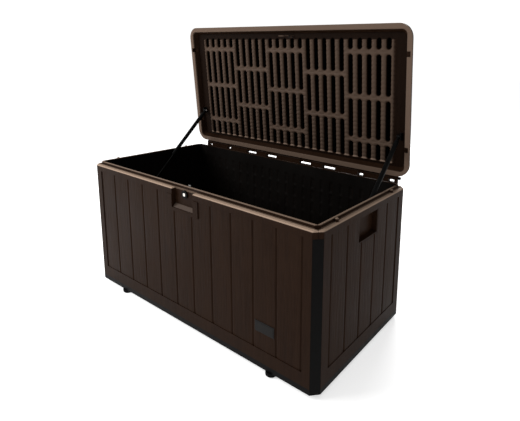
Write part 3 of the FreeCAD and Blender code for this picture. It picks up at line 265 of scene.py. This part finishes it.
def addBump(tree, shader, height, strength, distance):
    bump = tree.nodes.new("ShaderNodeBump")
    bump.inputs["Strength"].default_value = strength
    bump.inputs["Distance"].default_value = distance
    tree.links.new(height, bump.inputs["Height"])
    tree.links.new(bump.outputs[0], shader.inputs["Normal"])


maskSoftness = 0.0015


# 1 inside a rectangle around the middle and 0 outside it
def withinMask(tree, split, half):
    mask = None
    for axis, limit in (("X", half[0]), ("Y", half[1])):
        size = mathNode(tree, "ABSOLUTE", split.outputs[axis])
        near = ramp(tree, size, limit - maskSoftness, limit + maskSoftness, 1.0, 0.0)
        mask = near if mask is None else times(tree, mask, near)
    return mask


# where the painted shade of the inside and the painted highlight on the rim lie; each pair is
# where a fade starts and ends
wallShadeAndHighlightPlaces = {
    "insideHalf": (0.5835, 0.2565), "insideFade": (0.53, 0.562), "insideLeft": 0.35,
    "ledgeFoot": (0.5392, 0.5408), "ledgeHead": (0.5436, 0.5446),
    "ledgeEnds": (0.584, 0.596), "endShare": 0.75,
    "ridgeHalf": (0.5915, 0.2645), "ridgeTop": (0.5525, 0.5545),
    "ridgeBack": (0.2, 0.24), "ridgeShare": 0.5,
}


# painted shade over the inside of the walls and a painted highlight along the rim
def wallShadeAndHighlightMasks(tree, place):
    values = wallShadeAndHighlightPlaces
    split = splitAt(tree, place.outputs["Object"])
    across, back, up = (split.outputs[axis] for axis in "XYZ")
    # painted shade over the inside faces, thinning towards the top
    inside = withinMask(tree, split, values["insideHalf"])
    inside = times(tree, inside, ramp(tree, up, *values["insideFade"], 1.0, values["insideLeft"]))
    # painted highlight on the rim's ledge, weaker on the short sides, and on the ridge top, fading
    # out towards the back
    level = times(tree, ramp(tree, up, *values["ledgeFoot"]),
                  ramp(tree, up, *values["ledgeHead"], 1.0, 0.0))
    outside = mathNode(tree, "SUBTRACT", 1.0, withinMask(tree, split, values["ridgeHalf"]))
    fromMiddle = mathNode(tree, "ABSOLUTE", across)
    longSides = ramp(tree, fromMiddle, *values["ledgeEnds"], 1.0, values["endShare"])
    ledge = times(tree, times(tree, level, outside), longSides)
    ridge = times(tree, ramp(tree, up, *values["ridgeTop"]),
                  ramp(tree, back, *values["ridgeBack"], values["ridgeShare"], 0.0))
    ridge = times(tree, ridge, mathNode(tree, "SUBTRACT", 1.0, inside))
    return inside, mathNode(tree, "ADD", ledge, ridge)


lidHinge = {"y": 0.305, "z": 0.564, "openAngle": 85.5}
openTurn = math.radians(lidHinge["openAngle"])

# heights and places on the shut lid of its painted shade and painted highlight, laid out as for
# the walls
lidShadeAndHighlightPlaces = {
    "recessHalf": (0.5865, 0.2595), "slotMouth": (0.5655, 0.5715), "slotFloor": (0.5955, 0.5965),
    "lipLevel": (0.5452, 0.5492), "lipShare": 0.5,
    "ribHalf": (0.5395, 0.2545), "ribRoot": (0.5635, 0.5672), "ribCrest": (0.556, 0.558),
    "ribLift": 0.28, "ribEndBack": (0.2375, 0.2435), "ribEndUp": (0.5668, 0.5635),
    "ribEndLift": 0.9,
}


# painted shade in the slots of the ribbed face and a painted highlight on its ribs and lip, in the
# shut lid's place
def lidShadeAndHighlightMasks(tree, place):
    values = lidShadeAndHighlightPlaces
    turn = Matrix.Rotation(openTurn, 3, "X")
    hinge = Vector((0.0, lidHinge["y"], lidHinge["z"]))
    shut = tree.nodes.new("ShaderNodeMapping")
    shut.inputs["Rotation"].default_value = (openTurn, 0.0, 0.0)
    shut.inputs["Location"].default_value = hinge - turn @ hinge
    tree.links.new(place.outputs["Object"], shut.inputs["Vector"])
    split = splitAt(tree, shut.outputs[0])
    back, up = split.outputs["Y"], split.outputs["Z"]
    # painted shade down in the slots
    deep = times(tree, ramp(tree, up, *values["slotMouth"]),
                 ramp(tree, up, *values["slotFloor"], 1.0, 0.0))
    deep = times(tree, deep, withinMask(tree, split, values["recessHalf"]))
    # painted highlight on the lip, on the ribs and, stronger, on their hinge-side ends
    lip = ramp(tree, up, *values["lipLevel"], values["lipShare"], 0.0)
    ends = times(tree, ramp(tree, back, *values["ribEndBack"]),
                 ramp(tree, up, *values["ribEndUp"]))
    ribs = times(tree, ramp(tree, up, *values["ribRoot"], 1.0, 0.0),
                 ramp(tree, up, *values["ribCrest"]))
    ribs = times(tree, ribs, withinMask(tree, split, values["ribHalf"]))
    lift = mathNode(tree, "ADD", times(tree, ends, values["ribEndLift"]), values["ribLift"])
    return deep, mathNode(tree, "ADD", times(tree, ribs, lift), lip)


# the wall colours: grain tones, random worn patches, a near-black painted shade for the inside and
# a pale painted highlight for the rim
wallFinish = {
    "dark": (0.0088, 0.0038, 0.0019), "light": (0.0205, 0.0096, 0.0052),
    "worn": (0.0245, 0.0125, 0.0072), "patchiness": 0.35,
    "paintedShadeColour": (0.0006, 0.0005, 0.0004), "paintedHighlightColour": (0.4, 0.285, 0.21),
    "roughness": 0.42, "smoother": 0.05, "rougher": 0.07, "deepRougher": 0.3, "edgeSmoother": 0.06,
    "specular": 0.022, "stretch": 22.0, "relief": 0.7, "reliefDepth": 0.0006,
}
# on the lid the pale colour is a painted highlight on the ribs and lip, and the near-black one
# painted shade in the slots
lidFinish = dict(wallFinish, paintedHighlightColour=(0.215, 0.15, 0.112))
# the lining is the walls' plastic, darkened as painted shade for the inside of the box
shadedLiningFinish = dict(wallFinish, dark=(0.0014, 0.001, 0.0008), light=(0.0042, 0.003, 0.0024),
                    worn=(0.005, 0.0038, 0.003), specular=0.06, roughness=0.5)
# the sill is the walls' plastic, made paler as a painted highlight for the light it catches
litSillFinish = dict(wallFinish, dark=(0.055, 0.038, 0.029), light=(0.085, 0.06, 0.047),
                  worn=(0.1, 0.072, 0.058))


# satin moulded plastic with wood grain; turn tips the grain about X, in degrees; masks, when
# given, paint shade and highlight into the colour
def grainPlastic(name, values, masks=None, turn=0.0):
    material, tree, shader = newMaterial(name, values["roughness"], values["specular"])
    place = tree.nodes.new("ShaderNodeTexCoord")
    mapping = tree.nodes.new("ShaderNodeMapping")
    mapping.inputs["Rotation"].default_value = (math.radians(turn), 0.0, 0.0)
    tree.links.new(place.outputs["Object"], mapping.inputs["Vector"])
    grain = tree.nodes.new("ShaderNodeGroup")
    grain.node_tree = grainGroup
    grain.inputs["Stretch"].default_value = values["stretch"]
    tree.links.new(mapping.outputs[0], grain.inputs["Vector"])
    tone, patches = grain.outputs["Tone"], grain.outputs["Patches"]
    streaked = blendColours(tree, tone, values["dark"], values["light"])
    wornShare = ramp(tree, patches, 0.0, 1.0, 0.0, values["patchiness"])
    colour = blendColours(tree, wornShare, streaked, values["worn"])
    rough = ramp(tree, patches, 0.0, 1.0, values["roughness"] - values["smoother"],
                 values["roughness"] + values["rougher"])
    if masks:
        # painted shade and painted highlight laid over the grain colour
        dark, paintedHighlight = masks(tree, place)
        colour = blendColours(tree, dark, colour, values["paintedShadeColour"])
        colour = blendColours(tree, paintedHighlight, colour, values["paintedHighlightColour"])
        rough = mathNode(tree, "ADD", rough, times(tree, dark, values["deepRougher"]))
        rough = mathNode(tree, "SUBTRACT", rough, times(tree, paintedHighlight, values["edgeSmoother"]))
    tree.links.new(colour, shader.inputs["Base Color"])
    tree.links.new(rough, shader.inputs["Roughness"])
    addBump(tree, shader, grain.outputs["Height"], values["relief"], values["reliefDepth"])
    return material


# the wall and lid plastics carry painted shade and painted highlight, the lining painted shade and
# the sill a painted highlight
wallPlastic = grainPlastic("wall_plastic_painted_light", wallFinish, wallShadeAndHighlightMasks)
lidPlastic = grainPlastic("lid_plastic", lidFinish, lidShadeAndHighlightMasks, turn=90.0 - lidHinge["openAngle"])
shadedLiningPlastic = grainPlastic("lining_plastic_painted_shade", shadedLiningFinish)
litSillPlastic = grainPlastic("sill_plastic_painted_highlight", litSillFinish)

# size is the fineness of the dust; dusty is its colour
plainFinish = {
    "metallic": 0.0, "size": 60.0, "relief": 0.1, "reliefDepth": 0.0003,
    "smoother": 0.04, "rougher": 0.12,
}
smallFinishes = {
    "black_plastic": dict(plainFinish, colour=(0.0014, 0.0012, 0.0011),
                          dusty=(0.003, 0.0027, 0.0025), roughness=0.5, specular=0.05),
    "foot_rubber": dict(plainFinish, colour=(0.0012, 0.0012, 0.0012),
                        dusty=(0.003, 0.003, 0.0028), roughness=0.7, specular=0.06),
    "zinc_steel": dict(plainFinish, colour=(0.74, 0.73, 0.7), dusty=(0.5, 0.49, 0.46),
                       roughness=0.38, specular=0.5, metallic=0.85, size=90.0),
    "rod_steel": dict(plainFinish, colour=(0.42, 0.41, 0.4), dusty=(0.25, 0.24, 0.23),
                      roughness=0.28, specular=0.5, metallic=1.0, size=40.0),
    "lock_metal": dict(plainFinish, colour=(0.72, 0.7, 0.66), dusty=(0.45, 0.43, 0.4),
                       roughness=0.2, specular=0.5, metallic=1.0, size=120.0),
    "badge_plastic": dict(plainFinish, colour=(0.0022, 0.0015, 0.0012),
                          dusty=(0.005, 0.0035, 0.003), roughness=0.42, specular=0.1),
    # the strut's black paint and black nitrided rod are darkened further as painted shade, so they
    # sink into the dark inside of the box
    "strut_paint": dict(plainFinish, colour=(0.0012, 0.0012, 0.0012),
                        dusty=(0.003, 0.0028, 0.0026), roughness=0.4, specular=0.06),
    "nitrided_rod": dict(plainFinish, colour=(0.014, 0.0135, 0.013), dusty=(0.008, 0.008, 0.008),
                         roughness=0.25, specular=0.3, metallic=1.0, size=50.0, relief=0.03),
}


# a plain plastic, rubber or metal with fine speckle and a little dust
def dustyMaterial(name, values):
    rough = values["roughness"]
    material, tree, shader = newMaterial(name, rough, values["specular"], values["metallic"])
    place = tree.nodes.new("ShaderNodeTexCoord")
    wear = tree.nodes.new("ShaderNodeGroup")
    wear.node_tree = wearGroup
    wear.inputs["Size"].default_value = values["size"]
    tree.links.new(place.outputs["Object"], wear.inputs["Vector"])
    dust = wear.outputs["Dust"]
    colour = blendColours(tree, dust, values["colour"], values["dusty"])
    tree.links.new(colour, shader.inputs["Base Color"])
    dulled = ramp(tree, dust, 0.0, 1.0, rough - values["smoother"], rough + values["rougher"])
    tree.links.new(dulled, shader.inputs["Roughness"])
    addBump(tree, shader, wear.outputs["Speckle"], values["relief"], values["reliefDepth"])
    return material


small = {name: dustyMaterial(name, values) for name, values in smallFinishes.items()}
slotFinish = dict(small, panel_plastic=wallPlastic, lid_plastic=lidPlastic,
                  screw_steel=small["zinc_steel"])
for part in frame["record"]["subparts"]:
    shown = nodes[part["node"]]
    shown.data.materials.clear()
    shown.data.materials.append(slotFinish[part["material_slot"]])

# pieces that look unlike the rest of their slot
ownFinish = {
    "base_panel": small["black_plastic"], "lock_body": small["black_plastic"],
    "lock_strike": lidPlastic, "strike_screws": small["black_plastic"],
    "lid_locating_pegs": wallPlastic,
}
for name, finish in ownFinish.items():
    nodes[name].data.materials.clear()
    nodes[name].data.materials.append(finish)
print("finishes done")


def finishPiece(made, material, body):
    made.data.materials.append(material)
    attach(made, body)


boxHalf = (0.61, 0.283)
cutCorner = 0.024
plankMargin = {"long": 0.036, "side": 0.0405}  # from the cut corner to the first plank

longWall = {"planks": 11, "half": boxHalf[0] - cutCorner - plankMargin["long"],
            "reach": boxHalf[0], "distance": boxHalf[1]}
sideWall = {"planks": 5, "half": boxHalf[1] - cutCorner - plankMargin["side"],
            "reach": boxHalf[1], "distance": boxHalf[0]}
# pockets left open in the planks: half width, lowest and highest
latchGap = (0.0875, 0.4565, 0.6)
handGap = (0.064, 0.429, 0.6)
walls = (
    {"name": "front", "wall": longWall, "turn": 0, "seed": 11, "gap": latchGap},
    {"name": "back", "wall": longWall, "turn": 180, "seed": 12, "gap": None},
    {"name": "right", "wall": sideWall, "turn": 90, "seed": 13, "gap": handGap},
    {"name": "left", "wall": sideWall, "turn": -90, "seed": 14, "gap": handGap},
)


# across the wall, inwards and up, turned about Z and pushed out to the wall's face
def wallFrame(turn, distance):
    turned = Matrix.Rotation(math.radians(turn), 4, "Z")
    return turned @ Matrix.Translation((0.0, -distance, 0.0))


plankSkin = {
    "low": 0.082, "high": 0.519, "inset": 0.0004, "step": 0.0017, "rise": 0.006,
    "grooveHalf": 0.0049, "grooveFloorHalf": 0.0014, "grooveDepth": 0.0027, "pastGroove": 0.9,
    "faceDepth": 0.0019, "crown": 0.0003, "grainHeight": 0.00016, "grainRun": 7,
    "grainLimit": 2.5,
}


# depth behind the wall's outer face of rounded planks with grain
def plankRelief(across, along, half, pitch, seed):
    values = plankSkin
    fromGroove = np.abs((across + half + pitch / 2) % pitch - pitch / 2)
    slope = values["grooveHalf"] - values["grooveFloorHalf"]
    groove = values["grooveDepth"] * smoothStep((values["grooveHalf"] - fromGroove) / slope)
    crown = values["crown"] * (1 - (2 * (fromGroove - pitch / 2) / pitch) ** 2)
    rng = np.random.default_rng(seed)
    grain = values["grainHeight"] * streaks(rng, len(across), len(along), values["grainRun"])
    limit = values["grainLimit"] * values["grainHeight"]
    grain = np.clip(grain, -limit, limit)
    return values["faceDepth"] + groove[None, :] - crown[None, :] + grain


def plankSheet(name, wall, turn, seed, gap):
    values = plankSkin
    half = wall["half"]
    pitch = 2 * half / wall["planks"]
    edge = half + values["grooveHalf"] * values["pastGroove"]
    across = np.linspace(-edge, edge, int(2 * edge / values["step"]))
    along = np.linspace(values["low"] + values["inset"], values["high"] - values["inset"],
                        int((values["high"] - values["low"]) / values["rise"]))
    keep = None
    if gap:
        middleX = (across[:-1] + across[1:]) / 2
        middleZ = (along[:-1] + along[1:]) / 2
        gapHalf, gapLow, gapHigh = gap
        inColumn = (np.abs(middleX) < gapHalf)[None, :]
        inRow = ((middleZ > gapLow) & (middleZ < gapHigh))[:, None]
        keep = ~(inColumn & inRow)
    relief = plankRelief(across, along, half, pitch, seed)
    place = wallFrame(turn, wall["distance"])
    made = sheetOnPlane(name, across, along, relief, place, keep)
    finishPiece(made, wallPlastic, "box")


for side in walls:
    plankSheet(side["name"] + "_planks", side["wall"], side["turn"], side["seed"], side["gap"])
print("plank skins done")

lining = {
    "wall": 0.027, "proud": 0.0002, "endGap": 0.0004, "low": 0.054, "high": 0.5525,
    "slotHalf": 0.0078, "slotDepth": 0.0018, "soft": 0.002, "rowSoft": 0.003,
    "rows": 8, "rowPitch": 0.0555, "rowLow": 0.069, "rowHigh": 0.1125,
    "step": 0.004, "rise": 0.006,
}


# the inner face of a wall, with two columns of shallow slots behind each plank, in a plastic
# darkened as painted shade
def liningSheet(name, wall, turn):
    values = lining
    half = wall["half"]
    pitch = 2 * half / wall["planks"]
    edge = wall["reach"] - values["wall"] - values["endGap"]
    across = np.linspace(-edge, edge, int(2 * edge / values["step"]))
    along = np.linspace(values["low"], values["high"],
                        int((values["high"] - values["low"]) / values["rise"]))
    acrossGrid, alongGrid = np.meshgrid(across, along)
    fromSlot = np.abs((acrossGrid + half) % (pitch / 2) - pitch / 4)
    inSlot = smoothStep((values["slotHalf"] - fromSlot) / values["soft"])
    inSlot = inSlot * (np.abs(acrossGrid) < half)
    inRow = 0.0
    for row in range(values["rows"]):
        low = values["rowLow"] + values["rowPitch"] * row
        high = values["rowHigh"] + values["rowPitch"] * row
        inRow = inRow + (smoothStep((alongGrid - low) / values["rowSoft"])
                         * smoothStep((high - alongGrid) / values["rowSoft"]))
    depth = values["wall"] + values["proud"] - values["slotDepth"] * inSlot * inRow
    made = sheetOnPlane(name, across, along, depth, wallFrame(turn, wall["distance"]))
    finishPiece(made, shadedLiningPlastic, "box")


for side in walls:
    liningSheet(side["name"] + "_lining", side["wall"], side["turn"])

floorWaffle = {
    "half": (0.577, 0.25), "columns": 240, "rows": 110, "level": 0.0353,
    "pitch": 0.096, "barRise": 0.0015, "barStart": 0.93, "barSoft": 0.05,
}


# the inside of the base, with a raised waffle of shallow bars, in a plastic darkened as painted
# shade
def floorLining():
    values = floorWaffle
    halfX, halfY = values["half"]
    across = np.linspace(-halfX, halfX, values["columns"])
    along = np.linspace(-halfY, halfY, values["rows"])
    acrossGrid, alongGrid = np.meshgrid(across, along)
    bars = np.maximum(np.abs(np.cos(math.pi * acrossGrid / values["pitch"])),
                      np.abs(np.cos(math.pi * alongGrid / values["pitch"])))
    onBar = smoothStep((bars - values["barStart"]) / values["barSoft"])
    up = values["level"] + values["barRise"] * onBar
    points = np.stack([acrossGrid, alongGrid, up], axis=-1).reshape(-1, 3)
    made = addMesh("floor_lining", points, gridFaces(len(along), len(across)))
    finishPiece(made, shadedLiningPlastic, "box")


floorLining()

badge = {"borderProud": 0.0008, "blankProud": 0.0013, "sunk": 0.001, "borderWidth": 0.004,
         "borderEdge": 0.0007, "blankEdge": 0.0004}


# a blank plate with a border around it, over the badge's place
def badgeFace():
    low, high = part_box("badge_plate")
    plate = roundBox("badge_border", (low.x, low.y - badge["borderProud"], low.z),
                     (high.x, low.y + badge["sunk"], high.z), badge["borderEdge"])
    finishPiece(plate, small["badge_plastic"], "box")
    width = badge["borderWidth"]
    blank = roundBox("badge_blank", (low.x + width, low.y - badge["blankProud"], low.z + width),
                     (high.x - width, low.y, high.z - width), badge["blankEdge"])
    finishPiece(blank, small["badge_plastic"], "box")


badgeFace()
print("linings done")

# slots stand in columns, five to a group; groups take the two sets of bars in turn
lidRibs = {
    "pitch": 0.0428, "slotHalf": 0.0088, "slotDepth": 0.0238, "soft": 0.003,
    "softShare": 0.75, "softStart": 0.25, "lastColumn": 12, "groupColumns": 5,
    "crossbarHalf": 0.011,
    "outerBars": (-0.1853, -0.0069, 0.1715), "innerBars": (-0.0961, 0.0823),
    "crown": 0.0085, "crownShape": 2.2,
    "beadPitch": 0.0178, "beadHeight": 0.0036, "beadShape": 0.6,
    "edgeX": 0.5855, "front": -0.2575, "back": 0.2575, "rows": 198,
    "fieldFront": -0.2375, "fieldBack": 0.2455, "fieldColumns": 12.55,
    "sideFade": 0.004, "frontStart": 0.002, "frontFade": 0.006,
    "backStart": 0.006, "backFade": 0.007, "face": 0.5692, "below": 0.0005,
    "leftGap": 0.004, "leftCuts": 5, "rightGap": 0.003, "rightCuts": 6,
}
# where the mesh is cut across one rib and slot, as shares of the pitch
ribCuts = (0.15, 0.175, 0.19, 0.205, 0.225, 0.25, 0.29, 0.36, 0.44)


# distance from the nearest slot's edge: negative inside a slot, positive on a rib
def slotDistance(across, along):
    values = lidRibs
    last = values["lastColumn"]
    column = np.clip(np.round(across / values["pitch"]), -last, last)
    offset = np.abs(across - column * values["pitch"])
    inner = ((column + last) // values["groupColumns"]).astype(int) % 2 == 1
    nearest = np.full(across.shape, 1.0)
    for isInner, bars in ((False, values["outerBars"]), (True, values["innerBars"])):
        edges = [values["fieldFront"]]
        for bar in bars:
            edges += [bar - values["crossbarHalf"], bar + values["crossbarHalf"]]
        edges.append(values["fieldBack"])
        for low, high in zip(edges[0::2], edges[1::2]):
            middle = (low + high) / 2
            straight = (high - low) / 2 - values["slotHalf"]
            past = np.maximum(np.abs(along - middle) - straight, 0.0)
            distance = np.hypot(offset, past) - values["slotHalf"]
            nearest = np.where(inner == isInner, np.minimum(nearest, distance), nearest)
    return nearest


# height above the ribbed face, into the lid; ribs stand out as rounded, beaded bars
def ribRelief(across, along):
    values = lidRibs
    distance = slotDistance(across, along)
    sunk = -distance / values["soft"] * values["softShare"] + values["softStart"]
    deep = values["slotDepth"] * smoothStep(sunk)
    ribHalf = values["pitch"] / 2 - values["slotHalf"]
    rounded = 1 - np.clip(1 - distance / ribHalf, 0, 1) ** values["crownShape"]
    fieldHalf = values["fieldColumns"] * values["pitch"]
    fromFront = along - values["fieldFront"] - values["frontStart"]
    fromBack = values["fieldBack"] + values["backStart"] - along
    fade = (smoothStep((fieldHalf - np.abs(across)) / values["sideFade"])
            * smoothStep(fromFront / values["frontFade"])
            * smoothStep(fromBack / values["backFade"]))
    wave = np.abs(np.cos(math.pi * along / values["beadPitch"])) ** values["beadShape"]
    beads = values["beadHeight"] * wave
    proud = (values["crown"] - values["beadHeight"] + beads) * rounded * fade
    return deep - np.where(distance > 0, proud, 0.0)


def lidUnderside():
    values = lidRibs
    last = values["lastColumn"]
    columns = np.arange(-last, last + 1)[:, None] * values["pitch"]
    shares = np.array([-0.5, *(-cut for cut in reversed(ribCuts)), 0.0, *ribCuts])
    across = (columns + shares[None, :] * values["pitch"]).ravel()
    leftEdge = np.linspace(-values["edgeX"], across[0] - values["leftGap"], values["leftCuts"])
    rightEdge = np.linspace(across[-1] + values["rightGap"], values["edgeX"], values["rightCuts"])
    across = np.concatenate([leftEdge, across, rightEdge])
    along = np.linspace(values["front"], values["back"], values["rows"])
    acrossGrid, alongGrid = np.meshgrid(across, along)
    up = values["face"] - values["below"] + ribRelief(acrossGrid, alongGrid)
    points = np.stack([acrossGrid, alongGrid, up], axis=-1).reshape(-1, 3)
    faces = gridFaces(len(along), len(across))[:, ::-1]
    made = addMesh("lid_ribbed_face", points, faces)
    hingeY, hingeZ = lidHinge["y"], lidHinge["z"]
    opened = Matrix.Translation((0, hingeY, hingeZ)) @ Matrix.Rotation(-openTurn, 4, "X")
    made.data.transform(opened @ Matrix.Translation((0, -hingeY, -hingeZ)))
    finishPiece(made, lidPlastic, "lid")


lidUnderside()
print("lid underside done")

latch = {
    "half": 0.0597, "frontY": -0.2846, "backY": -0.2683, "sillFront": 0.4662, "sillBack": 0.4795,
    "setBack": 0.0003, "thick": 0.004, "noseIn": 0.004, "noseUp": 0.0045,
    "backUp": 0.004, "backIn": 0.001, "edge": 0.0012,
}


# the sloped floor of the latch pocket; its pale colour is a painted highlight for the light it
# catches from above
def latchSill():
    front = latch["frontY"] + latch["setBack"]
    under = latch["sillFront"] - latch["thick"]
    section = [
        (front, under), (front, latch["sillFront"]),
        (latch["frontY"] + latch["noseIn"], latch["sillFront"] + latch["noseUp"]),
        (latch["backY"], latch["sillBack"] + latch["backUp"]),
        (latch["backY"] + latch["backIn"], under),
    ]
    count = len(section)
    points = [(x, y, z) for x in (-latch["half"], latch["half"]) for y, z in section]
    faces = [tuple(range(count)), tuple(range(2 * count - 1, count - 1, -1))]
    for i in range(count):
        following = (i + 1) % count
        faces.append((i, i + count, following + count, following))
    made = addMesh("latch_sill", points, faces)
    roundEdges(made, latch["edge"])
    finishPiece(made, litSillPlastic, "box")


latchSill()

lockRing = {
    "y": -0.268, "z": 0.526, "radius": 0.0152, "rise": 0.0045, "straightShare": 0.55,
    "roll": 0.003, "rollSteps": 6, "plug": 0.0061, "mouthOver": 0.0022,
    "throatOver": 0.0008, "throatUp": 0.0018, "steps": 48,
}


# a rounded ring over the lock's face, open in the middle for the plug
def lockTrim():
    values = lockRing
    front = Matrix.Translation((0.0, values["y"], values["z"]))
    front = front @ Matrix.Rotation(math.radians(90), 4, "X")
    radius, roll = values["radius"], values["roll"]
    straight = values["rise"] * values["straightShare"]
    ring = [(radius, 0.0), (radius, straight)]
    for step in range(1, values["rollSteps"] + 1):
        angle = step / values["rollSteps"] * math.pi / 2
        ring.append((radius - roll * (1 - math.cos(angle)), straight + roll * math.sin(angle)))
    ring += [(values["plug"] + values["mouthOver"], straight + roll),
             (values["plug"] + values["throatOver"], straight + values["throatUp"])]
    made = lathe("lock_bezel_ring", ring, values["steps"], front)
    finishPiece(made, small["black_plastic"], "box")


lockTrim()

# y and z are the ball's place on the open lid
studHead = {"y": 0.28522, "z": 0.73498, "radius": 0.005, "rise": 0.0022, "sunk": 0.0004,
            "tip": 0.00002, "profileSteps": 5, "steps": 24}


# the bright riveted end of each ball stud, on the inner face of its socket
def strutStudHeads():
    values = studHead
    for side, name in ((-1, "left"), (1, "right")):
        low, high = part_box(name + "_strut_upper_socket")
        inner = low.x if side > 0 else high.x
        place = Matrix.Translation((inner, values["y"], values["z"]))
        place = place @ Matrix.Rotation(math.radians(-90 * side), 4, "Y")
        profile = [(values["radius"], -values["sunk"])]
        for step in range(values["profileSteps"] + 1):
            angle = step / values["profileSteps"] * math.pi / 2
            profile.append((values["radius"] * math.cos(angle) + values["tip"],
                            values["rise"] * math.sin(angle)))
        made = lathe(name + "_tube_stud_head", profile, values["steps"], place)
        finishPiece(made, small["zinc_steel"], name + "_tube")


strutStudHeads()
print("latch done")

studio = {
    "floorColour": (0.9, 0.9, 0.9), "floorRoughness": 0.9, "floorGlow": 0.56, "floorReach": 30.0,
    "worldStrength": 0.5, "backdrop": 1.05,
    "keyAt": (-2.4, -2.3, 2.3), "keyTarget": (0.0, 0.0, 0.3), "keyPower": 105.0, "keySize": 2.0,
    "rimAt": (-0.9, 3.2, 2.6), "rimTarget": (0.0, 0.0, 0.5), "rimPower": 110.0, "rimSize": 2.0,
}


def addLight(name, place, target, size, power):
    data = bpy.data.lights.new(name, "AREA")
    data.shape = "DISK"
    data.size = size
    data.energy = power
    made = bpy.data.objects.new(name, data)
    bpy.context.scene.collection.objects.link(made)
    made.location = place
    towards = Vector(target) - Vector(place)
    made.rotation_euler = towards.to_track_quat("-Z", "Y").to_euler()


# the backdrop is brighter to the camera than the light that the world gives
def buildStudio():
    world = bpy.data.worlds.new("studio")
    bpy.context.scene.world = world
    world.use_nodes = True
    tree = world.node_tree
    shade = tree.nodes["Background"]
    shade.inputs["Color"].default_value = (1.0, 1.0, 1.0, 1.0)
    seen = tree.nodes.new("ShaderNodeLightPath").outputs["Is Camera Ray"]
    strength = ramp(tree, seen, 0.0, 1.0, studio["worldStrength"], studio["backdrop"])
    tree.links.new(strength, shade.inputs["Strength"])
    reach = studio["floorReach"]
    corners = [(-reach, -reach, 0), (reach, -reach, 0), (reach, reach, 0), (-reach, reach, 0)]
    floor = addMesh("floor", corners, [(0, 1, 2, 3)], smooth=False)
    material, tree, shader = newMaterial("floor_white", studio["floorRoughness"], 0.0)
    shader.inputs["Base Color"].default_value = (*studio["floorColour"], 1.0)
    shader.inputs["Emission Color"].default_value = (1.0, 1.0, 1.0, 1.0)
    shader.inputs["Emission Strength"].default_value = studio["floorGlow"]
    floor.data.materials.append(material)
    for name in ("key", "rim"):
        addLight(name, studio[name + "At"], studio[name + "Target"],
                 studio[name + "Size"], studio[name + "Power"])


cameraView = {
    "place": (1.2548, -1.175, 1.0183), "right": (0.82794, 0.56005, 0.0293),
    "ahead": (-0.54702, 0.81799, -0.17795), "lens": 29.15, "sensor": 36.0,
    "shift": (-0.1477, -0.1430), "farthest": 100.0,
}


def buildCamera():
    data = bpy.data.cameras.new("camera")
    data.sensor_width = cameraView["sensor"]
    data.lens = cameraView["lens"]
    data.shift_x, data.shift_y = cameraView["shift"]
    data.clip_end = cameraView["farthest"]
    made = bpy.data.objects.new("camera", data)
    bpy.context.scene.collection.objects.link(made)
    right = Vector(cameraView["right"]).normalized()
    ahead = Vector(cameraView["ahead"]).normalized()
    up = right.cross(ahead).normalized()
    right = ahead.cross(up).normalized()
    turn = Matrix((right, up, -ahead)).transposed().to_4x4()
    made.matrix_world = Matrix.Translation(cameraView["place"]) @ turn
    bpy.context.scene.camera = made


buildStudio()
buildCamera()
bpy.context.scene.view_settings.view_transform = "Standard"
print("studio done")
